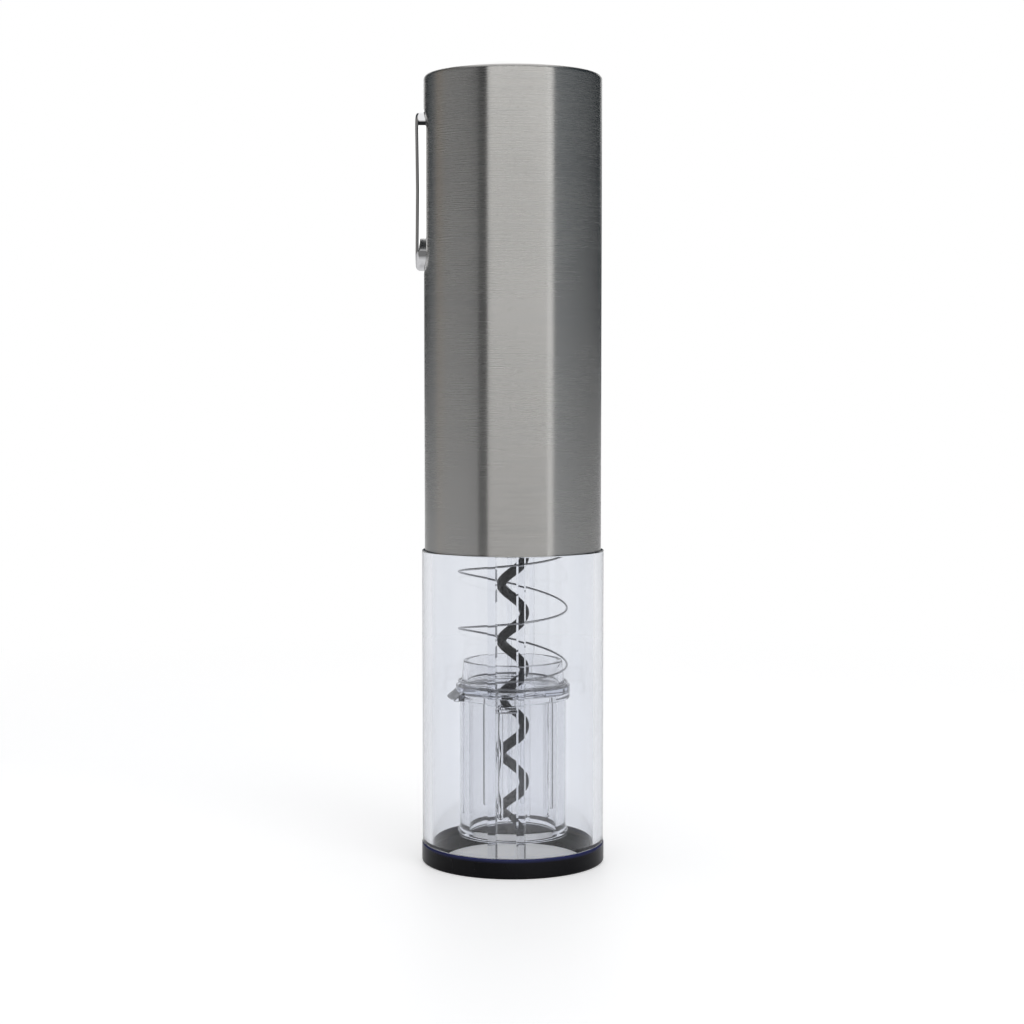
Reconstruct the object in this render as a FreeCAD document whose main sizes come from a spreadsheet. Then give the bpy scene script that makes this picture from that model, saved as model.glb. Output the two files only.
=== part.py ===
"""Electric wine opener, upright: +Z up, origin at the centre of the base, switch on the -X side.

A steel handle holds the battery, switch, motor and a two-stage planetary gearbox.
The gearbox turns the worm inside a clear lower housing, where a sprung cork guide
slides on ribs as the bottle's neck comes in from below.
"""
import FreeCAD, Part, Sketcher
import math
import os
import re

doc = FreeCAD.newDocument("WineOpener")
V = FreeCAD.Vector
nodes = []

# ---------------------------------------------------------------- driving sizes, in millimetres

sizes = {
    # clear lower housing
    "housing_radius": 24.9,
    "housing_wall": 2.6,
    "housing_top": 85.9,
    "spigot_gap": 0.1,
    "spigot_height": 10.0,
    "foot_step": 1.0,
    "front_rib_width": 2.0,
    "rear_rib_width": 1.0,
    "rib_depth": 5.3,
    "front_channel_width": 5.4,
    "rear_channel_width": 5.6,
    "front_channel_turn": 4.7,
    "rear_channel_turn": 7.0,
    "rib_root": 0.5,
    "front_stop_height": 1.2,
    "front_stop_depth": 2.7,
    "rear_stop_height": 3.0,
    "rear_stop_depth": 3.8,
    # base ring
    "ring_proud": 0.2,
    "ring_height": 5.4,
    "ring_floor": 3.0,
    "ring_lip": 5.3,
    "ring_edge": 0.5,
    # steel sleeve and top cap
    "sleeve_step": 0.75,
    "sleeve_wall": 0.6,
    "sleeve_lip": 2.2,
    "sleeve_edge": 1.0,
    "cap_gap": 0.1,
    "cap_rise": 4.1,
    "cap_wall": 1.5,
    "cap_skirt": 3.5,
    # inner chassis
    "chassis_gap": 0.2,
    "chassis_wall": 1.65,
    "chassis_rim": 2.5,
    "lid_gap": 0.7,
    "split_gap": 0.1,
    "floor_lip": 3.2,
    "floor_thickness": 2.9,
    "web_thickness": 1.5,
    "web_bore": 11.0,
    "screw_radius": 1.1,
    "screw_head_radius": 2.1,
    "screw_head_height": 1.4,
    "screw_inset": 4.7,
    "screw_seat_depth": 1.5,
    "screw_tip_reach": 3.1,
    "screw_slot_width": 0.7,
    "screw_slot_depth": 0.4,
    "chassis_boss_radius": 2.5,
    "chassis_boss_sink": 0.3,
    "lower_screw_rise": 6.0,
    "upper_screw_rise": 26.0,
    # cork guide, spring and worm
    "guide_foot_gap": 2.15,
    "guide_radius": 14.6,
    "guide_wall": 2.5,
    "guide_foot_flare": 0.6,
    "guide_foot_height": 2.4,
    "guide_edge": 0.4,
    "guide_body_height": 37.75,
    "flange_thickness": 3.7,
    "flange_width": 1.1,
    "collar_inset": 0.4,
    "collar_height": 6.6,
    "rim_inset": 1.0,
    "collar_wall": 1.4,
    "worm_hole_gap": 1.5,
    "guide_web": 1.5,
    "lug_gap": 1.7,
    "lug_clearance": 0.3,
    "lug_root": 1.0,
    "side_lug_length": 3.0,
    "side_lug_width": 9.0,
    "side_lug_turn": 18.0,
    "side_lug_edge": 0.6,
    "wall_rib_reach": 1.0,
    "wall_rib_width": 1.2,
    "wall_rib_root": 0.5,
    "wall_rib_rise": 6.0,
    "wall_rib_count": 6,
    "wall_rib_turn": 15.0,
    "spring_fit": 0.42,
    "spring_wire": 0.28,
    "spring_turns": 5.4,
    "spring_end_turns": 0.8,
    "spring_blend": 0.4,
    "spring_closed_pitch": 0.59,
    "spring_start_angle": 233.2,
    "spring_lean": 0.95,
    "spring_seat_gap": 0.02,
    "worm_radius": 3.15,
    "worm_wire": 1.35,
    "worm_pitch": 15.5,
    "worm_tip_rise": 0.85,
    "worm_tip_angle": 43.0,
    "worm_bevel": 28.0,
    "hub_radius": 7.0,
    "hub_drop": 9.2,
    "hub_socket_depth": 3.6,
    "worm_end_gap": 0.2,
    # gearbox
    "gearbox_rise": 18.1,
    "cover_thickness": 3.0,
    "cover_boss_drop": 2.5,
    "spring_spigot_drop": 3.0,
    "spring_spigot_gap": 0.3,
    "spring_spigot_wall": 1.4,
    "bush_radius": 6.0,
    "bush_flange": 0.8,
    "bush_flange_width": 1.0,
    "bush_boss_wall": 2.0,
    "shaft_radius": 4.0,
    "running_gap": 0.05,
    "washer_thickness": 1.2,
    "washer_radius": 7.5,
    "gear_module": 0.8,
    "sun_teeth": 12,
    "planet_teeth": 15,
    "ring_teeth": 42,
    "addendum": 0.64,
    "dedendum": 0.9,
    "backlash": 0.22,
    "gear_wall": 3.85,
    "disc_gap": 0.25,
    "carrier_thickness": 2.2,
    "carrier_radius": 14.4,
    "pin_radius": 1.25,
    "gear_gap": 0.5,
    "lower_gear_width": 7.0,
    "upper_gear_width": 4.5,
    "plate_thickness": 2.0,
    "gearbox_screw_radius": 0.9,
    "gearbox_screw_head": 1.55,
    "gearbox_screw_head_height": 1.1,
    # motor
    "motor_radius": 13.85,
    "motor_length": 32.0,
    "motor_wall": 1.2,
    "motor_shaft_radius": 1.15,
    "motor_bush_radius": 3.0,
    "motor_bush_length": 3.2,
    "motor_nose_wall": 1.0,
    "motor_nose_gap": 0.4,
    "end_cap_thickness": 3.0,
    "end_cap_skin": 1.0,
    "shaft_end_gap": 1.5,
    "magnet_thickness": 2.6,
    "magnet_overlap": 1.5,
    "magnet_spacing": 12.0,
    "armature_gap": 0.65,
    "armature_length": 15.0,
    "armature_rise": 5.5,
    "pole_count": 5,
    "pole_slot_width": 1.6,
    "pole_pocket_radius": 1.9,
    "pole_tip_depth": 3.8,
    "commutator_radius": 3.2,
    "commutator_length": 4.5,
    "commutator_gap": 0.8,
    "motor_screw_spacing": 16.0,
    "motor_screw_radius": 1.25,
    "motor_screw_head": 2.3,
    "motor_slot_width": 0.6,
    "motor_slot_depth": 0.5,
    "terminal_width": 2.4,
    "terminal_thickness": 0.5,
    "terminal_height": 1.2,
    "terminal_offset": 8.0,
    # battery
    "cell_radius": 7.1,
    "cell_length": 42.0,
    "cell_gap": 0.2,
    "cell_offset": 2.6,
    "cell_nub_radius": 2.6,
    "cell_nub_height": 0.8,
    "pad_thickness": 0.8,
    "pad_gap": 0.3,
    "link_width": 5.0,
    "link_thickness": 0.25,
    # circuit board and switch
    "board_face": 13.6,
    "board_thickness": 1.6,
    "board_width": 32.0,
    "tact_size": 6.0,
    "tact_height": 3.4,
    "tact_spacing": 26.0,
    "chip_thickness": 1.4,
    "chip_width": 6.0,
    "chip_height": 4.9,
    "chip_offset": 9.0,
    "capacitor_radius": 2.5,
    "capacitor_length": 4.2,
    "capacitor_offset": 8.5,
    "capacitor_drop": 14.0,
    "plunger_radius": 1.7,
    "plunger_length": 2.2,
    "plunger_bore_depth": 1.2,
    "plunger_travel": 0.25,
    "plunger_rest_gap": 0.1,
    "rocker_drop": 30.9,
    "rocker_length": 42.9,
    "rocker_width": 10.4,
    "rocker_proud": 2.2,
    "rocker_dish": 0.25,
    "rocker_depth": 4.6,
    "rocker_edge": 1.2,
    "rocker_angle": 3.0,
    "rocker_pad_width": 3.2,
    "rocker_pin_radius": 1.0,
    "rocker_pin_depth": 6.05,
    "rocker_pin_length": 16.4,
    "rocker_lug_width": 8.0,
    "rocker_lug_radius": 2.1,
    "rocker_gap": 0.4,
    "rocker_rest_gap": 0.1,
    "rocker_cut_depth": 4.0,
    "bezel_wall": 0.5,
    "bezel_inset": 0.1,
    "bezel_back_gap": 0.7,
    "ear_width": 1.6,
    "ear_radius": 2.5,
    # charging jack
    "jack_rise": 19.65,
    "jack_width": 9.0,
    "jack_height": 11.0,
    "jack_depth": 8.2,
    "jack_nose_radius": 4.0,
    "jack_socket_radius": 2.85,
    "jack_socket_depth": 7.5,
    "jack_pin_radius": 1.0,
    "jack_pin_setback": 1.5,
    "jack_nose_length": 3.0,
    "jack_inset": 0.2,
    # how far a cutter runs past what it cuts
    "cut_margin": 1.0,
}

sheet = doc.addObject("Spreadsheet::Sheet", "Sizes")
for row, (alias, number) in enumerate(sizes.items(), start=1):
    sheet.set(f"A{row}", alias)
    sheet.set(f"B{row}", str(number))
    sheet.setAlias(f"B{row}", alias)
doc.recompute()


def bound(text):
    """An expression in sheet names, with the sheet put before each of them."""
    def named(word):
        return "Sizes." + word[0] if word[0] in sizes else word[0]
    return re.sub(r"[a-z][a-z_]+", named, str(text))


def value(text):
    """The number that an expression in sheet names comes to."""
    return float(sheet.evalExpression(str(text)))


# ---------------------------------------------------------------- heights that the sizes add up to

HOUSING_BORE = "(housing_radius - housing_wall)"
FOOT_RADIUS = "(housing_radius - foot_step)"
RIB_REACH = f"({HOUSING_BORE} - rib_depth)"
RING_RADIUS = "(housing_radius + ring_proud)"
RING_BORE = f"({RING_RADIUS} - ring_lip)"
SLEEVE_RADIUS = "(housing_radius - sleeve_step)"
SLEEVE_BORE = f"({SLEEVE_RADIUS} - sleeve_wall)"
SPIGOT_RADIUS = f"({SLEEVE_BORE} - spigot_gap)"
SPIGOT_TOP = "(housing_top + spigot_height)"
CHASSIS_RADIUS = f"({SLEEVE_BORE} - chassis_gap)"
CHASSIS_BORE = f"({CHASSIS_RADIUS} - chassis_wall)"

GUIDE_FOOT = "(ring_height + guide_foot_gap)"
GUIDE_BORE = "(guide_radius - guide_wall)"
FLANGE = f"({GUIDE_FOOT} + guide_body_height)"
FLANGE_TOP = f"({FLANGE} + flange_thickness)"
COLLAR_RADIUS = "(guide_radius - collar_inset)"
RIM_RADIUS = "(guide_radius - rim_inset)"
RIM = f"({FLANGE_TOP} + collar_height)"
SPRING_RADIUS = f"({COLLAR_RADIUS} + spring_fit + spring_wire)"
WORM_TIP = f"({GUIDE_FOOT} + worm_tip_rise)"

GEARBOX = "(housing_top + gearbox_rise)"
HUB = f"({GEARBOX} - hub_drop)"
BUSH_BOTTOM = f"({GEARBOX} - cover_boss_drop)"
COVER_TOP = f"({GEARBOX} + cover_thickness)"
LOWER_DISC = f"({COVER_TOP} + washer_thickness + disc_gap)"
LOWER_GEARS = f"({LOWER_DISC} + carrier_thickness + gear_gap)"
UPPER_DISC = f"({LOWER_GEARS} + lower_gear_width + 2*gear_gap)"
UPPER_GEARS = f"({UPPER_DISC} + carrier_thickness + gear_gap)"
PLATE = f"({UPPER_GEARS} + upper_gear_width + 4*gear_gap)"
MOTOR = f"({PLATE} + plate_thickness)"
MOTOR_TOP = f"({MOTOR} + motor_length)"
WEB = f"({MOTOR_TOP} + disc_gap)"
PAD = f"({WEB} + web_thickness)"
CELLS = f"({PAD} + pad_thickness + link_thickness)"
CELL_TOP = f"({CELLS} + cell_length + cell_nub_height)"
UPPER_PAD = f"({CELL_TOP} + link_thickness)"
UPPER_WEB = f"({UPPER_PAD} + pad_thickness)"
CHASSIS_TOP = f"({UPPER_WEB} + web_thickness + chassis_rim)"
SLEEVE_TOP = f"({CHASSIS_TOP} + lid_gap + sleeve_wall)"

PLANET_ORBIT = "(gear_module*(sun_teeth + planet_teeth)/2)"
RING_OUTER = f"({CHASSIS_BORE} - running_gap)"
SCREW_ORBIT = f"({RING_OUTER} - gear_wall/2)"
ROCKER_FACE = f"({SLEEVE_RADIUS} + rocker_proud)"
ROCKER_LEVEL = f"({SLEEVE_TOP} - rocker_drop)"
PIVOT = f"({ROCKER_FACE} - rocker_pin_depth)"
SCREW_X = f"({CHASSIS_BORE} - screw_inset)"
SCREW_CHORD = f"sqrt({CHASSIS_BORE}^2 - {SCREW_X}^2)"
SCREW_SEAT = f"({SCREW_CHORD} - screw_seat_depth)"
MOTOR_BORE = "(motor_radius - motor_wall)"
ARMATURE_RADIUS = f"({MOTOR_BORE} - magnet_thickness - armature_gap)"
ARMATURE = f"({MOTOR} + motor_wall + armature_rise)"
JACK = f"({MOTOR} + jack_rise)"
OUTSIDE = f"({ROCKER_FACE} + 2*cut_margin)"
SWITCH_WELL = f"({OUTSIDE} - {PIVOT} + rocker_lug_radius + 2*cut_margin)"
WELL_FLOOR = "(board_face + tact_height - plunger_bore_depth)"
PLUNGER_TIP = f"({WELL_FLOOR} + plunger_travel + plunger_rest_gap + plunger_length)"


# ---------------------------------------------------------------- modelling helpers

def bind(thing, **expressions):
    for name, text in expressions.items():
        thing.setExpression(name, bound(text))
    return thing


TURNS = {
    "X": FreeCAD.Rotation(V(0, 1, 0), 90),
    "Y": FreeCAD.Rotation(V(1, 0, 0), -90),
    "Z": FreeCAD.Rotation(),
}


def place(thing, x="0", y="0", z="0", along="Z"):
    """Puts a primitive's own origin at a place, with its height along a row axis."""
    thing.Placement = FreeCAD.Placement(V(), TURNS[along])
    for axis, text in zip("xyz", (x, y, z)):
        thing.setExpression("Placement.Base." + axis, bound(text))
    return thing


def cylinder(radius, height, x="0", y="0", z="0", along="Z"):
    solid = bind(doc.addObject("Part::Cylinder", "Cylinder"), Radius=radius, Height=height)
    return place(solid, x, y, z, along)


def box(length, width, height, x, y, z):
    """A box of three sizes, centred on x and y, standing on z."""
    solid = bind(doc.addObject("Part::Box", "Box"), Length=length, Width=width, Height=height)
    return place(solid, f"{x} - ({length})/2", f"{y} - ({width})/2", z)


def fuse(*parts):
    union = doc.addObject("Part::MultiFuse", "Fusion")
    union.Shapes = list(parts)
    union.Refine = True
    return union


def cut(base, *tools):
    difference = doc.addObject("Part::Cut", "Cut")
    difference.Base = base
    difference.Tool = tools[0] if len(tools) == 1 else fuse(*tools)
    return difference


def common(base, tool):
    overlap = doc.addObject("Part::Common", "Common")
    overlap.Base = base
    overlap.Tool = tool
    return overlap


def turned_about_z(thing, degrees):
    """A copy of a solid turned about the opener's axis, which keeps its link to the original."""
    copy = doc.addObject("Part::Compound", "Turned")
    copy.Links = [thing]
    copy.Placement = FreeCAD.Placement(V(), FreeCAD.Rotation(V(0, 0, 1), degrees))
    return copy


def plane_of(body, role):
    return next(plane for plane in body.Origin.OriginFeatures if plane.Role == role)


def turned(name, outline):
    """A PartDesign body revolved about +Z from a closed outline of (radius, height) expressions."""
    body = doc.addObject("PartDesign::Body", name)
    sketch = body.newObject("Sketcher::SketchObject", name + "_outline")
    sketch.AttachmentSupport = [(plane_of(body, "XZ_Plane"), "")]
    sketch.MapMode = "FlatFace"
    corners = [V(value(radius), value(height), 0) for radius, height in outline]
    for start, end in zip(corners, corners[1:] + corners[:1]):
        sketch.addGeometry(Part.LineSegment(start, end), False)
    count = len(outline)
    for index, (radius, height) in enumerate(outline):
        previous = index - 1 if index else count - 1
        sketch.addConstraint(Sketcher.Constraint("Coincident", previous, 2, index, 1))
    for index, (radius, height) in enumerate(outline):
        for kind, text, axis in (("DistanceX", radius, -2), ("DistanceY", height, -1)):
            if text == "0":
                sketch.addConstraint(Sketcher.Constraint("PointOnObject", index, 1, axis))
                continue
            number = sketch.addConstraint(Sketcher.Constraint(kind, -1, 1, index, 1, value(text)))
            sketch.setExpression(f"Constraints[{number}]", bound(text))
    revolution = body.newObject("PartDesign::Revolution", name + "_turning")
    revolution.Profile = sketch
    revolution.ReferenceAxis = (sketch, ["V_Axis"])
    revolution.Angle = 360
    body.Tip = revolution
    return body


def rounded(body, radius, wanted):
    """Fillets the edges of a body's tip for which wanted(edge) is true."""
    doc.recompute()
    base = body.Tip
    names = [f"Edge{i}" for i, edge in enumerate(base.Shape.Edges, start=1) if wanted(edge)]
    fillet = body.newObject("PartDesign::Fillet", body.Name + "_rounding")
    fillet.Base = (base, names)
    bind(fillet, Radius=radius)
    body.Tip = fillet
    return body


def rim_at(radius, height):
    """Tells whether an edge is the full circle of that radius at that height."""
    def wanted(edge):
        if not isinstance(edge.Curve, Part.Circle):
            return False
        return (abs(edge.Curve.Radius - value(radius)) < 1e-4
                and abs(edge.Curve.Center.z - value(height)) < 1e-4)
    return wanted


def shaped(shape, placement=FreeCAD.Placement()):
    """A document object for a shape made in code."""
    feature = doc.addObject("Part::Feature", "Shape")
    feature.Shape = shape
    feature.Placement = placement
    return feature


def node(thing, name):
    """Marks an object as one of the opener's pieces, under its own name."""
    thing.Label = name
    nodes.append(thing)
    return thing


def slot_block(length, width, depth, outer):
    """A block with half-round ends, along Z at the switch, from outer inwards towards the axis."""
    end = f"(({length}) - ({width}))/2"
    start = f"-({outer})"
    bar = bind(doc.addObject("Part::Box", "Bar"), Length=depth, Width=width, Height=f"2*{end}")
    place(bar, start, f"-({width})/2", f"{ROCKER_LEVEL} - {end}")
    ends = [cylinder(f"({width})/2", depth, start, "0", f"{ROCKER_LEVEL} {sign} {end}", "X") for sign in "+-"]
    return fuse(bar, *ends)


# ---------------------------------------------------------------- outer casing

def base_ring():
    ring = turned("base_ring_body", [
        (RING_BORE, "0"), (RING_RADIUS, "0"), (RING_RADIUS, "ring_height"),
        (FOOT_RADIUS, "ring_height"), (FOOT_RADIUS, "ring_floor"),
        (RING_BORE, "ring_floor")])
    rounded(ring, "ring_edge", lambda edge: rim_at(RING_RADIUS, "0")(edge)
            or rim_at(RING_RADIUS, "ring_height")(edge))
    node(ring, "base_ring")


def guide_rib(width, offset, turn):
    """A rib of the clear housing, offset to one side of the channel that runs at a turn about Z."""
    start = f"({RIB_REACH} - cut_margin)"
    end = f"({HOUSING_BORE} + rib_root)"
    rib = box(width, f"{end} - {start}", f"{SPIGOT_TOP} - ring_floor", offset,
              f"-({start} + {end})/2", "ring_floor")
    return turned_about_z(rib, turn)


def guide_stop(end, turn):
    """A block across a channel, just below the lug that runs in it, where the guide comes to rest."""
    start = f"({HOUSING_BORE} - {end}_stop_depth)"
    root = f"({HOUSING_BORE} + rib_root)"
    stop = box(f"{end}_channel_width", f"{root} - {start}", f"{end}_stop_height", "0",
               f"-({start} + {root})/2", f"{FLANGE} - lug_clearance - {end}_stop_height")
    return turned_about_z(stop, turn)


def clear_housing():
    tube = turned("clear_housing_body", [
        (HOUSING_BORE, "ring_floor"), (FOOT_RADIUS, "ring_floor"),
        (FOOT_RADIUS, "ring_height"), ("housing_radius", "ring_height"),
        ("housing_radius", "housing_top"), (SPIGOT_RADIUS, "housing_top"),
        (SPIGOT_RADIUS, SPIGOT_TOP), (HOUSING_BORE, SPIGOT_TOP)])
    front_turn = -value("front_channel_turn")
    rear_turn = 180 - value("rear_channel_turn")
    parts = [tube]
    for end, turn in (("front", front_turn), ("rear", rear_turn)):
        for side in "+-":
            offset = f"({side}({end}_channel_width + {end}_rib_width)/2)"
            parts.append(guide_rib(f"{end}_rib_width", offset, turn))
        parts.append(guide_stop(end, turn))
    # the ribs' inner ends follow the bore
    bore = cylinder(RIB_REACH, SPIGOT_TOP)
    node(cut(fuse(*parts), bore), "clear_housing")


def steel_sleeve():
    inner = f"({SLEEVE_RADIUS} - sleeve_wall)"
    opening = f"({SLEEVE_RADIUS} - sleeve_lip)"
    tube = turned("steel_sleeve_body", [
        (SLEEVE_RADIUS, "housing_top"), (SLEEVE_RADIUS, SLEEVE_TOP), (opening, SLEEVE_TOP),
        (opening, f"{SLEEVE_TOP} - sleeve_wall"), (inner, f"{SLEEVE_TOP} - sleeve_wall"),
        (inner, "housing_top")])
    rounded(tube, "sleeve_edge", rim_at(SLEEVE_RADIUS, SLEEVE_TOP))
    surround = "rocker_gap + bezel_wall + bezel_inset/2"
    switch_hole = slot_block(f"rocker_length + 2*({surround})", f"rocker_width + 2*({surround})",
                             SWITCH_WELL, OUTSIDE)
    jack_hole = cylinder("jack_nose_radius + cap_gap", SLEEVE_RADIUS, "0", f"{SLEEVE_RADIUS}/2", JACK, "Y")
    node(cut(tube, switch_hole, jack_hole), "steel_sleeve")


def top_cap():
    radius = f"({SLEEVE_RADIUS} - sleeve_lip - cap_gap)"
    skirt = f"({CHASSIS_BORE} - cap_gap)"
    dome = f"(({radius}^2 + cap_rise^2)/(2*cap_rise))"
    top = f"({SLEEVE_TOP} + cap_rise)"
    bottom = f"({SLEEVE_TOP} - cap_skirt)"
    blank = turned("top_cap_blank", [
        ("0", bottom), (skirt, bottom), (skirt, CHASSIS_TOP), (radius, CHASSIS_TOP),
        (radius, f"{top} + cut_margin"), ("0", f"{top} + cut_margin")])
    outside = place(bind(doc.addObject("Part::Sphere", "Dome"), Radius=dome), z=f"{top} - {dome}")
    inside = bind(doc.addObject("Part::Sphere", "Hollow"), Radius=f"{dome} - cap_wall")
    place(inside, z=f"{top} - {dome}")
    room = cylinder(f"{skirt} - cap_wall", "cap_skirt + cap_rise", z=f"{bottom} - cut_margin")
    hollow = common(room, inside)
    node(cut(common(blank, outside), hollow), "top_cap")


# ---------------------------------------------------------------- inner chassis

def chassis_halves():
    outer, inner = CHASSIS_RADIUS, CHASSIS_BORE
    tube = turned("chassis_tube", [
        (outer, SPIGOT_TOP), (outer, CHASSIS_TOP), (inner, CHASSIS_TOP),
        (inner, f"{UPPER_WEB} + web_thickness"), ("web_bore", f"{UPPER_WEB} + web_thickness"),
        ("web_bore", UPPER_WEB), (inner, UPPER_WEB), (inner, PAD), ("web_bore", PAD),
        ("web_bore", WEB), (inner, WEB), (inner, GEARBOX), (f"({inner} - floor_lip)", GEARBOX),
        (f"({inner} - floor_lip)", f"{GEARBOX} - floor_thickness"),
        (inner, f"{GEARBOX} - floor_thickness"), (inner, SPIGOT_TOP)])
    surround = "rocker_gap + bezel_wall + bezel_inset"
    switch_hole = slot_block(f"rocker_length + 2*({surround})", f"rocker_width + 2*({surround})",
                             SWITCH_WELL, OUTSIDE)
    jack_hole = box("jack_width + 2*cap_gap", "2*jack_depth", "jack_height + 2*cap_gap", "0",
                    SLEEVE_RADIUS, f"{JACK} - jack_height/2 - cap_gap")
    screw_levels = (f"({MOTOR} + lower_screw_rise)", f"({MOTOR} + upper_screw_rise)")
    places = [(f"{side}{SCREW_X}", level) for side in ("", "-") for level in screw_levels]
    boss_end = f"({SCREW_CHORD} - chassis_boss_sink)"
    bosses = [cylinder("chassis_boss_radius", f"2*{boss_end}", x, f"-{boss_end}", level, "Y")
              for x, level in places]
    holes = [cylinder("screw_radius", f"{CHASSIS_RADIUS} + screw_tip_reach + cap_gap", x,
                      f"-{CHASSIS_RADIUS}", level, "Y") for x, level in places]
    heads = [cylinder("screw_head_radius + cap_gap", f"{CHASSIS_RADIUS} - {SCREW_SEAT}", x,
                      f"-{CHASSIS_RADIUS}", level, "Y") for x, level in places]
    ears = [cylinder("ear_radius", "ear_width", f"-{PIVOT}", y, ROCKER_LEVEL, "Y")
            for y in ("rocker_pin_length/2 - ear_width", "-rocker_pin_length/2")]
    arms = [box(f"{outer} - {PIVOT}", "ear_width", "2*ear_radius", f"-({outer} + {PIVOT})/2", y,
                f"{ROCKER_LEVEL} - ear_radius")
            for y in ("rocker_pin_length/2 - ear_width/2", "-rocker_pin_length/2 + ear_width/2")]
    ears = common(fuse(*ears, *arms), cylinder(outer, "4*ear_radius", z=f"{ROCKER_LEVEL} - 2*ear_radius"))
    pin_hole = cylinder("rocker_pin_radius", "rocker_pin_length", f"-{PIVOT}", "-rocker_pin_length/2",
                        ROCKER_LEVEL, "Y")
    board_slot = box("board_thickness + 2*cap_gap", "board_width + 2*cap_gap", f"{UPPER_WEB} - {PAD}",
                     "-board_face + board_thickness/2", "0", f"{PAD}")
    shell = cut(fuse(cut(tube, switch_hole), *bosses, ears), jack_hole, pin_hole, board_slot,
                *holes, *heads)
    half = f"(2*{SLEEVE_RADIUS})"
    front = box(half, f"{half}/2", SLEEVE_TOP, "0", f"-{half}/4 - split_gap/2", "0")
    rear = box(half, f"{half}/2", SLEEVE_TOP, "0", f"{half}/4 + split_gap/2", "0")
    node(common(shell, front), "chassis_front")
    node(common(shell, rear), "chassis_rear")
    screws = []
    for x, level in places:
        shank = cylinder("screw_radius", f"{SCREW_SEAT} + screw_head_height/2 + screw_tip_reach", x,
                         f"-{SCREW_SEAT} - screw_head_height/2", level, "Y")
        head = cylinder("screw_head_radius", "screw_head_height", x,
                        f"-{SCREW_SEAT} - screw_head_height", level, "Y")
        slot = box("screw_slot_width", "2*screw_slot_depth", "2*(screw_head_radius + cut_margin)", x,
                   f"-{SCREW_SEAT} - screw_head_height", f"{level} - screw_head_radius - cut_margin")
        screws.append(cut(fuse(shank, head), slot))
    group = doc.addObject("Part::Compound", "Screws")
    group.Links = screws
    node(group, "chassis_screws")


# ---------------------------------------------------------------- gears

def flank_angle(radius, base_radius):
    """The involute function at a radius."""
    pressure = math.acos(min(1.0, base_radius / radius))
    return math.tan(pressure) - pressure


def gear_face(teeth, inner_radius, outer_radius, thinning):
    """A toothed face with involute flanks; a negative thinning widens the teeth."""
    pitch_radius = value("gear_module") * teeth / 2
    base_radius = pitch_radius * math.cos(math.radians(20))
    half = math.pi / (2 * teeth) - thinning / (2 * pitch_radius) + flank_angle(pitch_radius, base_radius)
    start = max(base_radius, inner_radius)
    steps = 4
    flank = []
    for step in range(steps + 1):
        radius = start + (outer_radius - start) * step / steps
        flank.append((radius, half - flank_angle(radius, base_radius)))

    def point(radius, angle):
        return V(radius * math.cos(angle), radius * math.sin(angle), 0)

    edges = []
    for tooth in range(teeth):
        centre = 2 * math.pi * tooth / teeth
        ahead = 2 * math.pi / teeth
        rise = [point(radius, centre - angle) for radius, angle in flank]
        fall = [point(radius, centre + angle) for radius, angle in reversed(flank)]
        if start > inner_radius:
            edges.append(Part.LineSegment(point(inner_radius, centre - flank[0][1]), rise[0]))
        for points in (rise, fall):
            curve = Part.BSplineCurve()
            curve.interpolate(points)
            if points is fall:
                edges.append(Part.Arc(rise[-1], point(outer_radius, centre), fall[0]))
            edges.append(curve)
        if start > inner_radius:
            edges.append(Part.LineSegment(fall[-1], point(inner_radius, centre + flank[0][1])))
        root_start = point(inner_radius, centre + flank[0][1])
        root_end = point(inner_radius, centre + ahead - flank[0][1])
        edges.append(Part.Arc(root_start, point(inner_radius, centre + ahead / 2), root_end))
    wire = Part.Wire(Part.__sortEdges__([edge.toShape() for edge in edges]))
    return Part.Face(wire)


def external_gear(teeth, width):
    pitch_radius = value("gear_module") * teeth / 2
    face = gear_face(teeth, pitch_radius - value("dedendum"), pitch_radius + value("addendum"),
                     value("backlash") / 2)
    return face.extrude(V(0, 0, width))


SUN, PLANET, RING = (int(value(name)) for name in ("sun_teeth", "planet_teeth", "ring_teeth"))
PLANET_ANGLES = (90.0, 210.0, 330.0)


def planet_turn(orbit_angle):
    """How far a planet is turned so that its space faces the ring tooth on its line of centres."""
    ring_phase = orbit_angle * RING / 360
    return orbit_angle - (ring_phase - 0.5) * 360 / PLANET


def sun_turn():
    """How far the sun is turned to mesh with the first planet."""
    orbit_angle = PLANET_ANGLES[0]
    planet_phase = (orbit_angle + 180 - planet_turn(orbit_angle)) * PLANET / 360
    return orbit_angle - (0.5 - planet_phase) * 360 / SUN


def about_z(degrees, x=0.0, y=0.0, z=0.0):
    return FreeCAD.Placement(V(x, y, z), FreeCAD.Rotation(V(0, 0, 1), degrees))


def orbit_places():
    radius = value(PLANET_ORBIT)
    return [(angle, radius * math.cos(math.radians(angle)), radius * math.sin(math.radians(angle)))
            for angle in PLANET_ANGLES]


def ring_gear():
    bottom, top = value(COVER_TOP), value(PLATE)
    pitch_radius = value("gear_module") * RING / 2
    spaces = gear_face(RING, pitch_radius - value("addendum"), pitch_radius + value("dedendum"),
                       -value("backlash") / 2).extrude(V(0, 0, top - bottom))
    tooth_turn = 180.0 / RING
    spaces.Placement = about_z(tooth_turn, z=bottom)
    blank = cylinder(RING_OUTER, f"{PLATE} - {COVER_TOP}", z=COVER_TOP)
    holes = gearbox_screw_posts("gearbox_screw_radius", COVER_TOP, f"{PLATE} - {COVER_TOP}")
    node(cut(blank, shaped(spaces, spaces.Placement), *holes), "ring_gear")


def gearbox_screw_posts(radius, level, height):
    """Three posts on the circle of the gearbox screws, between the planets."""
    posts = []
    for angle in (30, 150, 270):
        x = f"{SCREW_ORBIT}*cos({angle})"
        y = f"{SCREW_ORBIT}*sin({angle})"
        posts.append(cylinder(radius, height, x, y, level))
    return posts


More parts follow.
